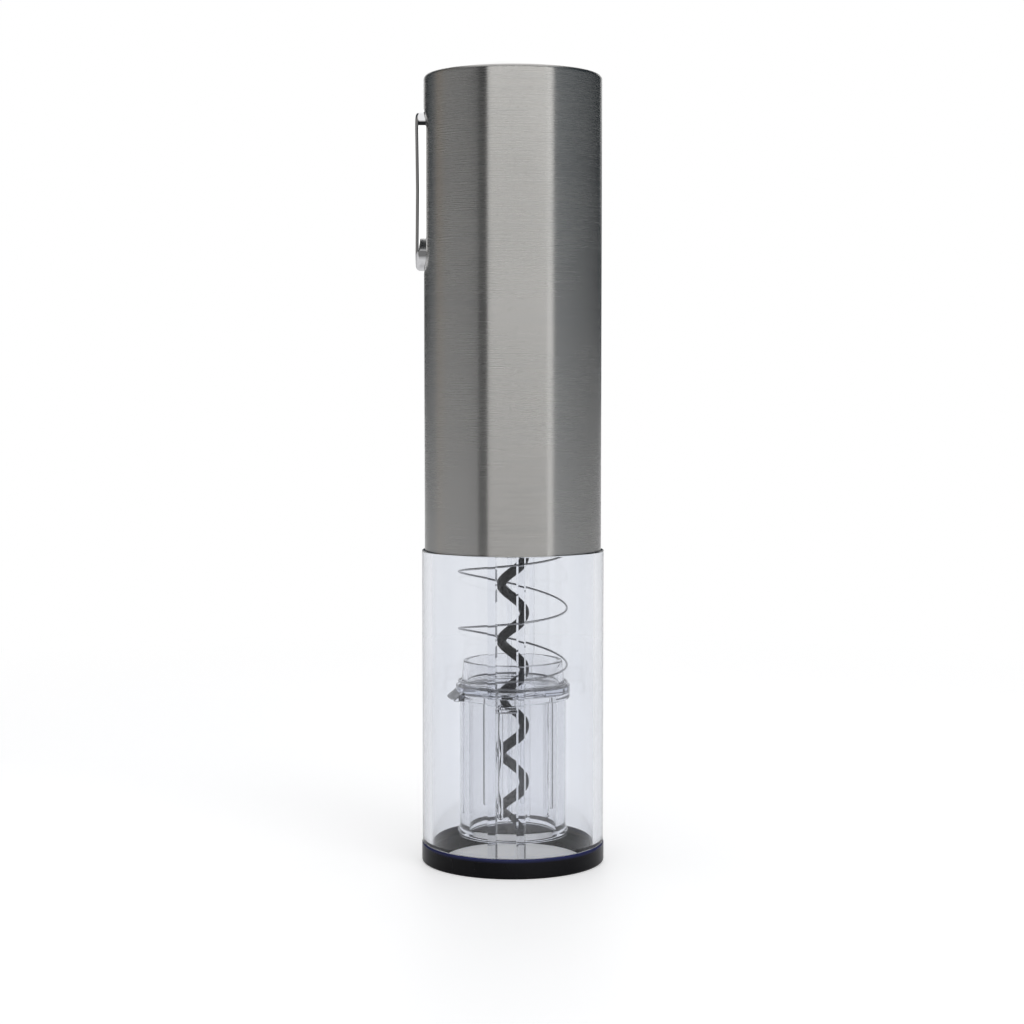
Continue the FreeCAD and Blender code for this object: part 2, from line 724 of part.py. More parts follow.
def planets(width_name, level, name):
    bore = value("pin_radius") + value("running_gap")
    width = value(width_name)
    for number, (angle, x, y) in enumerate(orbit_places(), start=1):
        gear = external_gear(PLANET, width).cut(Part.makeCylinder(bore, width))
        node(shaped(gear, about_z(planet_turn(angle), x, y, value(level))), f"{name}_{number}")


def on_planet_pins(radius, level, height):
    """Three cylinders on the planets' own axes."""
    return [cylinder(radius, height, f"{PLANET_ORBIT}*cos({angle})", f"{PLANET_ORBIT}*sin({angle})", level)
            for angle in PLANET_ANGLES]


def planet_pins(level, height, name):
    group = doc.addObject("Part::Compound", "Pins")
    group.Links = on_planet_pins("pin_radius", level, height)
    node(group, name)


def carrier_disc(level):
    disc = cylinder("carrier_radius", "carrier_thickness", z=level)
    return cut(disc, *on_planet_pins("pin_radius", level, "carrier_thickness"))


def gearbox():
    boss = "(bush_radius + bush_boss_wall)"
    spigot = f"({SPRING_RADIUS} - spring_wire - spring_spigot_gap)"
    cover = turned("gearbox_cover_body", [
        ("bush_radius", BUSH_BOTTOM), (boss, BUSH_BOTTOM), (boss, GEARBOX),
        (f"{spigot} - spring_spigot_wall", GEARBOX),
        (f"{spigot} - spring_spigot_wall", f"{GEARBOX} - spring_spigot_drop"),
        (spigot, f"{GEARBOX} - spring_spigot_drop"), (spigot, GEARBOX),
        (f"{CHASSIS_BORE} - cap_gap", GEARBOX), (f"{CHASSIS_BORE} - cap_gap", COVER_TOP),
        ("bush_radius", COVER_TOP)])
    below = f"({GEARBOX} - cut_margin)"
    holes = gearbox_screw_posts("gearbox_screw_radius", below, "cover_thickness + 2*cut_margin")
    heads = gearbox_screw_posts("gearbox_screw_head", below, "gearbox_screw_head_height + cut_margin")
    node(cut(cover, *holes, *heads), "gearbox_cover")

    flange = "(bush_radius + bush_flange_width)"
    bush = turned("output_bush_body", [
        ("shaft_radius + running_gap", f"{BUSH_BOTTOM} - bush_flange"),
        (flange, f"{BUSH_BOTTOM} - bush_flange"), (flange, BUSH_BOTTOM),
        ("bush_radius", BUSH_BOTTOM), ("bush_radius", COVER_TOP),
        ("shaft_radius + running_gap", COVER_TOP)])
    node(bush, "output_bush")

    washer = cut(cylinder("washer_radius", "washer_thickness", z=COVER_TOP),
                 cylinder("shaft_radius + running_gap", "washer_thickness", z=COVER_TOP))
    node(washer, "thrust_washer")

    ring_gear()

    shaft_bottom = f"({HUB} + hub_socket_depth)"
    shaft = cylinder("shaft_radius", f"{LOWER_DISC} - {shaft_bottom}", z=shaft_bottom)
    node(fuse(carrier_disc(LOWER_DISC), shaft), "output_carrier")
    lower_pins = "carrier_thickness + gear_gap + lower_gear_width + gear_gap/2"
    planet_pins(LOWER_DISC, lower_pins, "lower_planet_pins")
    planets("lower_gear_width", LOWER_GEARS, "lower_planet")

    sun_width = value(f"{UPPER_DISC} - {LOWER_GEARS}")
    sun = shaped(external_gear(SUN, sun_width), about_z(sun_turn(), z=value(LOWER_GEARS)))
    node(fuse(carrier_disc(UPPER_DISC), sun), "first_carrier")
    upper_pins = "carrier_thickness + gear_gap + upper_gear_width + gear_gap/2"
    planet_pins(UPPER_DISC, upper_pins, "upper_planet_pins")
    planets("upper_gear_width", UPPER_GEARS, "upper_planet")

    plate = cylinder(RING_OUTER, "plate_thickness", z=PLATE)
    boss_hole = cylinder("motor_bush_radius + motor_nose_wall", "plate_thickness", z=PLATE)
    screw_holes = [cylinder("motor_screw_radius", "plate_thickness", f"{side}motor_screw_spacing/2", "0",
                            PLATE)
                   for side in ("", "-")]
    sinks = [cylinder("motor_screw_head", "plate_thickness/2", f"{side}motor_screw_spacing/2", "0", PLATE)
             for side in ("", "-")]
    posts = gearbox_screw_posts("gearbox_screw_radius", PLATE, "plate_thickness")
    node(cut(plate, boss_hole, *screw_holes, *sinks, *posts), "motor_plate")

    shanks = gearbox_screw_posts("gearbox_screw_radius", GEARBOX,
                                 f"{PLATE} + plate_thickness - {GEARBOX}")
    caps = gearbox_screw_posts("gearbox_screw_head", GEARBOX, "gearbox_screw_head_height")
    group = doc.addObject("Part::Compound", "GearboxScrews")
    group.Links = [fuse(shank, cap) for shank, cap in zip(shanks, caps)]
    node(group, "gearbox_screws")


# ---------------------------------------------------------------- motor

def motor():
    nose = f"({MOTOR} - plate_thickness + motor_nose_gap)"
    nose_radius = "(motor_bush_radius + motor_nose_wall)"
    end_cap = f"({MOTOR_TOP} - end_cap_thickness)"
    can = turned("motor_can_body", [
        ("motor_bush_radius", nose), (nose_radius, nose), (nose_radius, MOTOR),
        ("motor_radius", MOTOR), ("motor_radius", end_cap), (MOTOR_BORE, end_cap),
        (MOTOR_BORE, f"{MOTOR} + motor_wall"), ("motor_bush_radius", f"{MOTOR} + motor_wall")])
    taps = [cylinder("motor_screw_radius", "motor_wall", f"{side}motor_screw_spacing/2", "0", MOTOR)
            for side in ("", "-")]
    node(cut(can, *taps), "motor_can")

    screws = []
    for side in ("", "-"):
        x = f"{side}motor_screw_spacing/2"
        head = cylinder("motor_screw_head", "plate_thickness/2", x, "0", PLATE)
        shank = cylinder("motor_screw_radius", "plate_thickness + motor_wall", x, "0", PLATE)
        slot = box("motor_slot_width", "2*(motor_screw_head + cut_margin)", "motor_slot_depth", x, "0", PLATE)
        screws.append(cut(fuse(head, shank), slot))
    group = doc.addObject("Part::Compound", "MotorScrews")
    group.Links = screws
    node(group, "motor_screws")

    bush = cut(cylinder("motor_bush_radius", "motor_bush_length", z=nose),
               cylinder("motor_shaft_radius + running_gap", "motor_bush_length", z=nose))
    node(bush, "motor_bush")

    cap = cylinder("motor_radius", "end_cap_thickness", z=end_cap)
    rear_bearing = cylinder("motor_shaft_radius + running_gap", "end_cap_thickness - end_cap_skin", z=end_cap)
    slots = [box("terminal_thickness", "terminal_width", "end_cap_thickness", f"{side}terminal_offset", "0",
                 end_cap) for side in ("", "-")]
    node(cut(cap, rear_bearing, *slots), "motor_end_cap")

    group = doc.addObject("Part::Compound", "Terminals")
    group.Links = [box("terminal_thickness", "terminal_width", "end_cap_thickness + terminal_height",
                       f"{side}terminal_offset", "0", end_cap) for side in ("", "-")]
    node(group, "motor_terminals")

    magnet_bottom = f"({ARMATURE} - magnet_overlap)"
    magnet_length = "(armature_length + 2*magnet_overlap)"
    ring = cut(cylinder(f"{MOTOR_BORE} - running_gap", magnet_length, z=magnet_bottom),
               cylinder(f"{MOTOR_BORE} - magnet_thickness", magnet_length, z=magnet_bottom))
    gap = box("magnet_spacing", "2*motor_radius", magnet_length, "0", "0", magnet_bottom)
    node(cut(ring, gap), "motor_magnets")

    shaft_length = f"{MOTOR_TOP} - shaft_end_gap - {UPPER_GEARS}"
    node(cylinder("motor_shaft_radius", shaft_length, z=UPPER_GEARS), "motor_shaft")
    core = cut(cylinder(ARMATURE_RADIUS, "armature_length", z=ARMATURE),
               cylinder("motor_shaft_radius", "armature_length", z=ARMATURE))
    pocket_orbit = f"({ARMATURE_RADIUS} - pole_tip_depth)"
    poles = int(value("pole_count"))
    slots = []
    for pole in range(poles):
        turn = 360 / poles * pole
        mouth = box("pole_tip_depth + cut_margin", "pole_slot_width", "armature_length",
                    f"{pocket_orbit} + (pole_tip_depth + cut_margin)/2", "0", ARMATURE)
        slots.append(turned_about_z(mouth, turn))
        pocket = cylinder("pole_pocket_radius", "armature_length", pocket_orbit, "0", ARMATURE)
        slots.append(turned_about_z(pocket, turn))
    node(cut(core, *slots), "motor_armature")
    collector_bottom = f"({end_cap} - commutator_length - commutator_gap)"
    collector = cut(cylinder("commutator_radius", "commutator_length", z=collector_bottom),
                    cylinder("motor_shaft_radius", "commutator_length", z=collector_bottom))
    node(collector, "motor_commutator")

    width = value("upper_gear_width + gear_gap")
    pinion = external_gear(SUN, width).cut(Part.makeCylinder(value("motor_shaft_radius"), width))
    node(shaped(pinion, about_z(sun_turn(), z=value(UPPER_GEARS))), "motor_pinion")


# ---------------------------------------------------------------- worm, spring and cork guide

def wire_helix(radius, wire, pitch, height, bottom, start_angle):
    """A round wire wound right-handed about +Z."""
    path = Part.makeHelix(pitch, height, radius)
    slope = math.atan2(pitch, 2 * math.pi * radius)
    heading = V(0, math.cos(slope), math.sin(slope))
    section = Part.Wire(Part.makeCircle(wire, V(radius, 0, 0), heading))
    sweep = Part.Wire(path).makePipeShell([section], True, True)
    sweep.Placement = about_z(start_angle, z=bottom)
    return sweep


def worm():
    top = f"({HUB} + hub_socket_depth - worm_wire - worm_end_gap)"
    height = value(f"{top} - {WORM_TIP}")
    coil = wire_helix(value("worm_radius"), value("worm_wire"), value("worm_pitch"), height,
                      value(WORM_TIP), value("worm_tip_angle"))
    # the wire's end is ground off on a slant, which leaves a point at its outside
    angle = math.radians(value("worm_tip_angle"))
    radial = V(math.cos(angle), math.sin(angle), 0)
    slope = math.atan2(value("worm_pitch"), 2 * math.pi * value("worm_radius"))
    along = V(-math.sin(angle) * math.cos(slope), math.cos(angle) * math.cos(slope), math.sin(slope))
    bevel = math.radians(value("worm_bevel"))
    normal = radial * -math.cos(bevel) - along * math.sin(bevel)
    wire = value("worm_wire")
    point = radial * (value("worm_radius") + wire) + V(0, 0, value(WORM_TIP))
    reach = 8 * wire
    stone = Part.makeBox(reach, reach, reach, V(-reach / 2, -reach / 2, 0))
    stone.Placement = FreeCAD.Placement(point, FreeCAD.Rotation(V(0, 0, 1), normal))
    limit = Part.makeCylinder(value("worm_radius") + 2 * wire, value("worm_pitch") / 2.5,
                              V(0, 0, value(WORM_TIP) - wire))
    node(shaped(coil.cut(stone.common(limit))), "worm")

    hub_top = f"({BUSH_BOTTOM} - bush_flange - gear_gap)"
    hub = turned("worm_hub_body", [
        ("0", HUB), ("hub_radius", HUB), ("hub_radius", hub_top), ("shaft_radius", hub_top),
        ("shaft_radius", f"{HUB} + hub_socket_depth"), ("0", f"{HUB} + hub_socket_depth")])
    node(hub, "worm_hub")


def spring_rise(turn, turns, end_turns, blend):
    """The share of the open pitch gathered by a turn: none in the end coils, all of it between them."""
    if turn > turns / 2:
        middle = spring_rise(turns / 2, turns, end_turns, blend)
        return 2 * middle - spring_rise(turns - turn, turns, end_turns, blend)
    if turn <= end_turns:
        return 0.0
    part = min(1.0, (turn - end_turns) / blend)
    return blend * (part ** 3 - part ** 4 / 2) + max(0.0, turn - end_turns - blend)


def spring():
    """A compression spring with closed ends, from the guide's flange up to the gearbox cover.

    Its open coils lean a little to one side, as a long soft spring's do when it's lightly held.
    """
    radius, wire, turns = (value(name) for name in (SPRING_RADIUS, "spring_wire", "spring_turns"))
    bottom = value(f"{FLANGE_TOP} + spring_wire + spring_seat_gap")
    height = value(f"{GEARBOX} - spring_wire - spring_seat_gap") - bottom
    end_turns, blend, lean = (value(name) for name in ("spring_end_turns", "spring_blend", "spring_lean"))
    first_angle = value("spring_start_angle") - 360 * (end_turns + blend / 2)
    closed_pitch = value("spring_closed_pitch")
    open_pitch = (height - closed_pitch * turns) / spring_rise(turns, turns, end_turns, blend)
    steps_per_turn = 20
    count = int(turns * steps_per_turn)
    points = []
    for step in range(count + 1):
        turn = turns * step / count
        angle = 2 * math.pi * turn
        part = min(1.0, max(0.0, (min(turn, turns - turn) - end_turns) / blend))
        share = part * part * (3 - 2 * part)
        level = closed_pitch * turn + open_pitch * spring_rise(turn, turns, end_turns, blend)
        level -= lean * share * math.cos(math.radians(first_angle) + angle)
        points.append(V(radius * math.cos(angle), radius * math.sin(angle), level))
    path = Part.BSplineCurve()
    path.interpolate(points)
    start = path.FirstParameter
    section = Part.Wire(Part.makeCircle(wire, path.value(start), path.tangent(start)[0]))
    coil = Part.Wire(path.toShape()).makePipeShell([section], True, True)
    node(shaped(coil, about_z(first_angle, z=bottom)), "spring")


def cork_guide():
    foot = "(guide_radius + guide_foot_flare)"
    flange = "(guide_radius + flange_width)"
    worm_hole = "(worm_radius + worm_wire + worm_hole_gap)"
    cup = turned("cork_guide_body", [
        (GUIDE_BORE, GUIDE_FOOT), (foot, GUIDE_FOOT),
        (foot, f"{GUIDE_FOOT} + guide_foot_height/2"),
        ("guide_radius", f"{GUIDE_FOOT} + guide_foot_height"), ("guide_radius", FLANGE),
        (flange, FLANGE), (flange, FLANGE_TOP), (COLLAR_RADIUS, FLANGE_TOP),
        (RIM_RADIUS, RIM), (f"{RIM_RADIUS} - collar_wall", RIM),
        (f"{COLLAR_RADIUS} - collar_wall", FLANGE_TOP), (worm_hole, f"{FLANGE_TOP} - guide_web/2"),
        (worm_hole, f"{FLANGE_TOP} - 3*guide_web/2"), (GUIDE_BORE, f"{FLANGE_TOP} - 3*guide_web/2")])
    rounded(cup, "guide_edge", lambda edge: rim_at(RIM_RADIUS, RIM)(edge)
            or rim_at(foot, GUIDE_FOOT)(edge))
    root = "(guide_radius - lug_root)"
    reach = f"({HOUSING_BORE} - lug_gap)"
    front_turn = -value("front_channel_turn")
    rear_turn = 180 - value("rear_channel_turn")
    lugs = []
    for end, turn in (("front", front_turn), ("rear", rear_turn)):
        lug = box(f"{end}_channel_width - 2*lug_clearance", f"{reach} - {root}", "flange_thickness", "0",
                  f"-({reach} + {root})/2", FLANGE)
        lugs.append(turned_about_z(lug, turn))
    # the side lug thins to an edge, so that it stands clear of the wall
    side = bind(doc.addObject("Part::Wedge", "SideLug"), Xmin="-side_lug_width/2", Xmax="side_lug_width/2",
                X2min="-side_lug_width/2", X2max="side_lug_width/2", Ymin="0",
                Ymax=f"guide_radius + side_lug_length - {root}", Zmin="0", Zmax="flange_thickness",
                Z2min="0", Z2max="side_lug_edge")
    side.Placement = FreeCAD.Placement(V(), FreeCAD.Rotation(V(0, 0, 1), 90))
    side.setExpression("Placement.Base.x", bound(f"-{root}"))
    side.setExpression("Placement.Base.z", bound(FLANGE))
    lugs.append(turned_about_z(side, value("side_lug_turn")))
    # fine ribs down the inside of the wall, which bite the cork so that it can't turn
    depth = "(wall_rib_reach + wall_rib_root)"
    count = int(value("wall_rib_count"))
    ribs = []
    for rib in range(count):
        bar = box(depth, "wall_rib_width", f"{FLANGE} - {GUIDE_FOOT} - wall_rib_rise",
                  f"{GUIDE_BORE} + wall_rib_root - {depth}/2", "0", f"{GUIDE_FOOT} + wall_rib_rise")
        ribs.append(turned_about_z(bar, 360 / count * rib + value("wall_rib_turn")))
    node(fuse(cup, *lugs, *ribs), "cork_guide")


# ---------------------------------------------------------------- battery

def battery():
    half = "(cell_radius + cell_gap/2)"
    places = [(f"(cell_offset {across} {half})", f"({along}{half})") for across in "+-" for along in "+-"]
    for number, (x, y) in enumerate(places, start=1):
        can = cylinder("cell_radius", "cell_length", x, y, CELLS)
        nub = cylinder("cell_nub_radius", "cell_nub_height", x, y, f"{CELLS} + cell_length")
        node(fuse(can, nub), f"battery_cell_{number}")
    links = []
    for side in "+-":
        x = f"(cell_offset {side} {half})"
        links.append(box("link_width", f"2*{half} + link_width", "link_thickness", x, "0",
                         f"{CELLS} - link_thickness"))
    links.append(box(f"2*{half} + link_width", "link_width", "link_thickness", "cell_offset", half, CELL_TOP))
    group = doc.addObject("Part::Compound", "Links")
    group.Links = links
    node(group, "battery_links")
    board_back = "(board_face - board_thickness)"
    trim = box(CHASSIS_BORE, f"2*{CHASSIS_BORE}", f"{CHASSIS_TOP} - {PAD}",
               f"-{board_back} + pad_gap - {CHASSIS_BORE}/2", "0", PAD)
    for name, level in (("battery_pad_lower", PAD), ("battery_pad_upper", UPPER_PAD)):
        disc = cylinder(f"{CHASSIS_BORE} - pad_gap", "pad_thickness", z=level)
        node(cut(disc, trim), name)


# ---------------------------------------------------------------- circuit board and switch

def circuit_board():
    centre = "(-board_face + board_thickness/2)"
    board = box("board_thickness", "board_width", f"{UPPER_WEB} - {PAD} - 2*cap_gap", centre, "0",
                f"{PAD} + cap_gap")
    node(board, "circuit_board")
    for name, sign in (("forward", "+"), ("reverse", "-")):
        level = f"({ROCKER_LEVEL} {sign} tact_spacing/2)"
        body = box("tact_height", "tact_size", "tact_size", "-board_face - tact_height/2", "0",
                   f"{level} - tact_size/2")
        well = cylinder("plunger_radius + running_gap", "plunger_bore_depth",
                        "-board_face - tact_height", "0", level, "X")
        node(cut(body, well), f"{name}_switch")
        stem = cylinder("plunger_radius", "plunger_length", f"-{PLUNGER_TIP}", "0", level, "X")
        node(stem, f"{name}_plunger")
    chips = [box("chip_thickness", "chip_width", "chip_height", "-board_face - chip_thickness/2",
                 f"{side}chip_offset", f"{ROCKER_LEVEL} - chip_height/2") for side in ("", "-")]
    group = doc.addObject("Part::Compound", "Chips")
    group.Links = chips
    node(group, "drive_transistors")
    can = cylinder("capacitor_radius", "capacitor_length", "-board_face - capacitor_length",
                   "-capacitor_offset", f"{ROCKER_LEVEL} - capacitor_drop", "X")
    node(can, "board_capacitor")


def rocker():
    block = slot_block("rocker_length", "rocker_width", "rocker_depth", ROCKER_FACE)
    # the face falls to a shallow valley at the middle, where the two halves of the button meet
    valley = []
    fall = math.degrees(math.atan2(value("rocker_dish"), value("rocker_length/2")))
    for sign in (1, -1):
        blade = bind(doc.addObject("Part::Box", "Blade"), Length="rocker_cut_depth",
                     Width="rocker_width + 2*cut_margin", Height="rocker_length/2 + 2*cut_margin")
        valley_line = FreeCAD.Placement(
            V(-value(f"{ROCKER_FACE} - rocker_dish"), 0, value(ROCKER_LEVEL)),
            FreeCAD.Rotation(V(0, 1, 0), -fall if sign > 0 else 180 + fall))
        outward = -value("rocker_cut_depth") if sign > 0 else 0
        corner = V(outward, -value("rocker_width/2 + cut_margin"), 0)
        blade.Placement = valley_line.multiply(FreeCAD.Placement(corner, FreeCAD.Rotation()))
        valley.append(blade)
    cap = cut(block, *valley)
    doc.recompute()
    edges = []
    for index, edge in enumerate(cap.Shape.Edges, start=1):
        middle = edge.BoundBox.Center
        on_face = edge.BoundBox.XMax < -value(f"{ROCKER_FACE} - rocker_dish") + 0.02
        on_valley = abs(middle.z - value(ROCKER_LEVEL)) < 0.05 and edge.BoundBox.ZLength < 0.1
        if on_face and not on_valley:
            edges.append((index, value("rocker_edge"), value("rocker_edge")))
    if edges:
        rounding = doc.addObject("Part::Fillet", "RockerRounding")
        rounding.Base = cap
        rounding.Edges = edges
        cap = rounding
    lug = cylinder("rocker_lug_radius", "rocker_lug_width", f"-{PIVOT}", "-rocker_lug_width/2",
                   ROCKER_LEVEL, "Y")
    legs = []
    for sign in "+-":
        level = f"({ROCKER_LEVEL} {sign} tact_spacing/2)"
        reach = f"({ROCKER_FACE} - rocker_depth - {PLUNGER_TIP} - {rocker_throw()})"
        legs.append(box(reach, "rocker_pad_width", "rocker_pad_width",
                        f"-({ROCKER_FACE} - rocker_depth) + {reach}/2", "0", f"{level} - rocker_pad_width/2"))
    pin_hole = cylinder("rocker_pin_radius + running_gap", "rocker_lug_width", f"-{PIVOT}",
                        "-rocker_lug_width/2", ROCKER_LEVEL, "Y")
    node(cut(fuse(cap, lug, *legs), pin_hole), "rocker")
    pin = cylinder("rocker_pin_radius", "rocker_pin_length", f"-{PIVOT}", "-rocker_pin_length/2",
                   ROCKER_LEVEL, "Y")
    node(pin, "rocker_pin")
    wall = "2*(rocker_gap + bezel_wall)"
    frame = cut(slot_block(f"rocker_length + {wall}", f"rocker_width + {wall}", SWITCH_WELL, OUTSIDE),
                slot_block("rocker_length + 2*rocker_gap", "rocker_width + 2*rocker_gap", SWITCH_WELL,
                           OUTSIDE))
    level = f"({ROCKER_LEVEL} - rocker_length)"
    shell = cut(cylinder(f"{SLEEVE_RADIUS} - bezel_inset", "2*rocker_length", z=level),
                cylinder(f"{CHASSIS_BORE} + bezel_back_gap", "2*rocker_length", z=level))
    node(common(frame, shell), "switch_bezel")


def rocker_throw():
    """How far a leg's foot travels towards its plunger, with a little to spare."""
    return "((tact_spacing/2 + rocker_pad_width/2)*sin(rocker_angle) + rocker_rest_gap)"


# ---------------------------------------------------------------- charging jack

def charging_jack():
    outer = f"({CHASSIS_RADIUS} - jack_inset)"
    bottom = f"({JACK} - jack_height/2)"
    below = f"({bottom} - cut_margin)"
    body = box("jack_width", "jack_depth", "jack_height", "0", f"{outer} - jack_depth/2", bottom)
    trimmed = common(body, cylinder(outer, "jack_height + 2*cut_margin", z=below))
    nose = cylinder("jack_nose_radius", "jack_nose_length", "0", f"{SLEEVE_RADIUS} - jack_nose_length",
                    JACK, "Y")
    socket_end = f"({SLEEVE_RADIUS} - jack_socket_depth)"
    socket = cylinder("jack_socket_radius", "jack_socket_depth + cut_margin", "0", socket_end, JACK, "Y")
    flush = cylinder(SLEEVE_RADIUS, "jack_height + 2*cut_margin", z=below)
    node(cut(common(fuse(trimmed, nose), flush), socket), "charging_jack")
    pin = cylinder("jack_pin_radius", "jack_socket_depth - jack_pin_setback", "0", socket_end, JACK, "Y")
    node(pin, "jack_pin")


# ---------------------------------------------------------------- assembly and output

base_ring()
clear_housing()
steel_sleeve()
top_cap()
chassis_halves()
gearbox()
motor()
worm()
spring()
cork_guide()
battery()
circuit_board()
rocker()
charging_jack()

doc.recompute()
for thing in doc.Objects:
    if "Invalid" in thing.State or "Error" in thing.State:
        raise RuntimeError(f"{thing.Name} ({thing.Label}) failed: {thing.State}")
for piece in nodes:
    if piece.Shape.isNull() or not piece.Shape.isValid() or not piece.Shape.Solids:
        raise RuntimeError(f"{piece.Label} has no valid solid")

os.makedirs("parts", exist_ok=True)
for piece in nodes:
    piece.Shape.exportStep(f"parts/{piece.Label}.step")
    count = len(piece.Shape.Solids)
    print(f"{piece.Label}: {count} solid{'s' if count > 1 else ''}, {piece.Shape.Volume:.1f} mm3")
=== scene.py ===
# %% [markdown]
# # An electric wine opener
# The opener stands upright: a brushed steel handle on a clear lower housing with a dark base
# ring. Through the clear wall show the cork guide, its spring and the black worm.
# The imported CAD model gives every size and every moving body. This lesson gives its surfaces
# their finishes, remakes the clear pieces and the spring where light needs finer shapes, and
# sets up a small white studio round them.

# %% Load the frame
import bpy
import math
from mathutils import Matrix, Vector


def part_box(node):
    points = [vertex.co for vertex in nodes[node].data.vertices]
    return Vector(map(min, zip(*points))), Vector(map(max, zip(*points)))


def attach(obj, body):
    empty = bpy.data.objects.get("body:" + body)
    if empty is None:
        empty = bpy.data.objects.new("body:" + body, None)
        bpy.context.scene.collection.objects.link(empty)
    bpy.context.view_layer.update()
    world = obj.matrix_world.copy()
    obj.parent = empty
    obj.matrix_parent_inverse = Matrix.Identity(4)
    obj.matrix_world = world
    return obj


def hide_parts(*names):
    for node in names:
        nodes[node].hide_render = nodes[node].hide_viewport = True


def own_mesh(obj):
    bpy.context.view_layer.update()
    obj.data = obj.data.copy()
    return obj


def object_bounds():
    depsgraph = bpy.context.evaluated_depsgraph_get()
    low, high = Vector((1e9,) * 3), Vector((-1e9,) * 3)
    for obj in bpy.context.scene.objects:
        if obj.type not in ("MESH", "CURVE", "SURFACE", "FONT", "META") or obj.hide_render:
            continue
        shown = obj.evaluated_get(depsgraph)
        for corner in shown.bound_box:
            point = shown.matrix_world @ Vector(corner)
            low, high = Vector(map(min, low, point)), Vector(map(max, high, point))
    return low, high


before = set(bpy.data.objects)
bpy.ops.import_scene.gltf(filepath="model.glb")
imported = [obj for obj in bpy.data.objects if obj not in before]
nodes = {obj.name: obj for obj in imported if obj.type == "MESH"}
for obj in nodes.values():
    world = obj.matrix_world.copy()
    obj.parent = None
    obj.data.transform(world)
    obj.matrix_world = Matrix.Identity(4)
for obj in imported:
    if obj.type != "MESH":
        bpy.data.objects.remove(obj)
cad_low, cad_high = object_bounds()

MM = 0.001

# %% [markdown]
# ## Sizes
# Positions are read from the boxes of the CAD nodes, so that a new piece lands where the old
# one stood. A box only gives outer sizes. The wall, rib and lip sizes inside a piece are
# named here in millimetres, as a moulder's drawing would name them.

# %% Where the pieces stand
housing_low, housing_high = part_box("clear_housing")
ring_low, ring_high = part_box("base_ring")
sleeve_low, sleeve_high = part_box("steel_sleeve")
guide_low, guide_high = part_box("cork_guide")
spring_low, spring_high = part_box("spring")

HOUSING_WALL = 2.6 * MM
FOOT_STEP = 1.0 * MM
SPIGOT_STEP = 1.45 * MM
RIB_DEPTH = 5.3 * MM
SPRING_GAP = 0.02 * MM
FLANGE_THICKNESS = 3.7 * MM

HOUSING_RADIUS = housing_high.x
HOUSING_BORE = HOUSING_RADIUS - HOUSING_WALL
HOUSING_SHOULDER = sleeve_low.z
FOOT_RADIUS = HOUSING_RADIUS - FOOT_STEP
FOOT_TOP = ring_high.z
SPIGOT_RADIUS = HOUSING_RADIUS - SPIGOT_STEP
RIB_REACH = HOUSING_BORE - RIB_DEPTH
FLANGE_TOP = spring_low.z - SPRING_GAP
FLANGE_BOTTOM = FLANGE_TOP - FLANGE_THICKNESS
print(f"housing radius {HOUSING_RADIUS / MM:.2f} mm, bore {HOUSING_BORE / MM:.2f} mm, "
      f"flange top {FLANGE_TOP / MM:.2f} mm")

# %% [markdown]
# ## Modelling helpers
# Most of the pieces are round, and a lathe makes round pieces: half of the outline is drawn
# flat, then spun round the axis. Blender's Spin works on a chain of edges in edit mode.
# What is left on is a seam, closed by merging doubles, and faces that may point inwards,
# turned by recalculating the normals.

# %% Draw an outline and spin it
def clear_selection():
    if bpy.context.object and bpy.context.object.mode != "OBJECT":
        bpy.ops.object.mode_set(mode="OBJECT")
    bpy.ops.object.select_all(action="DESELECT")


def merge_and_face_out(distance=0.002 * MM):
    """In edit mode: closes seams, then turns every face outwards."""
    bpy.ops.mesh.select_all(action="SELECT")
    bpy.ops.mesh.remove_doubles(threshold=distance)
    bpy.ops.mesh.normals_make_consistent(inside=False)


def outline(name, points):
    """A closed chain of edges in the XZ plane: a plane merged to one vertex, then extruded per point."""
    clear_selection()
    bpy.ops.mesh.primitive_plane_add(size=1 * MM, location=(0, 0, 0))
    piece = bpy.context.object
    piece.name = piece.data.name = name
    bpy.ops.object.mode_set(mode="EDIT")
    bpy.ops.mesh.select_all(action="SELECT")
    bpy.ops.mesh.merge(type="CENTER")
    here = Vector((0, 0, 0))
    for number, (radius, height) in enumerate(points):
        there = Vector((radius, 0, height))
        if number == 0:
            bpy.ops.transform.translate(value=there - here)
        else:
            bpy.ops.mesh.extrude_vertices_move(TRANSFORM_OT_translate={"value": there - here})
        here = there
    bpy.ops.mesh.select_all(action="SELECT")
    bpy.ops.mesh.edge_face_add()
    bpy.ops.mesh.delete(type="ONLY_FACE")
    return piece


def lathe(name, points, steps, rounding):
    """Spins an outline round Z into a closed ring, after rounding the outline's corners."""
    piece = outline(name, points)
    bpy.ops.mesh.select_all(action="SELECT")
    bpy.ops.mesh.bevel(affect="VERTICES", offset=rounding, segments=3, clamp_overlap=True)
    bpy.ops.mesh.select_all(action="SELECT")
    bpy.ops.mesh.spin(steps=steps, angle=2 * math.pi, center=(0, 0, 0), axis=(0, 0, 1))
    merge_and_face_out()
    bpy.ops.object.mode_set(mode="OBJECT")
    return piece


# %% [markdown]
# Ribs, lugs and stops start as cubes. Their edges are rounded a little, because a moulded
# edge always catches light, and then they are joined to the round body with a Boolean. Clear
# plastic needs that: two shells that only overlap show a false wall inside. Smooth shading
# then blends a tall wall into the small rounding at its end, which would bend the whole wall's
# reflections, so the normals are weighted towards the larger faces.

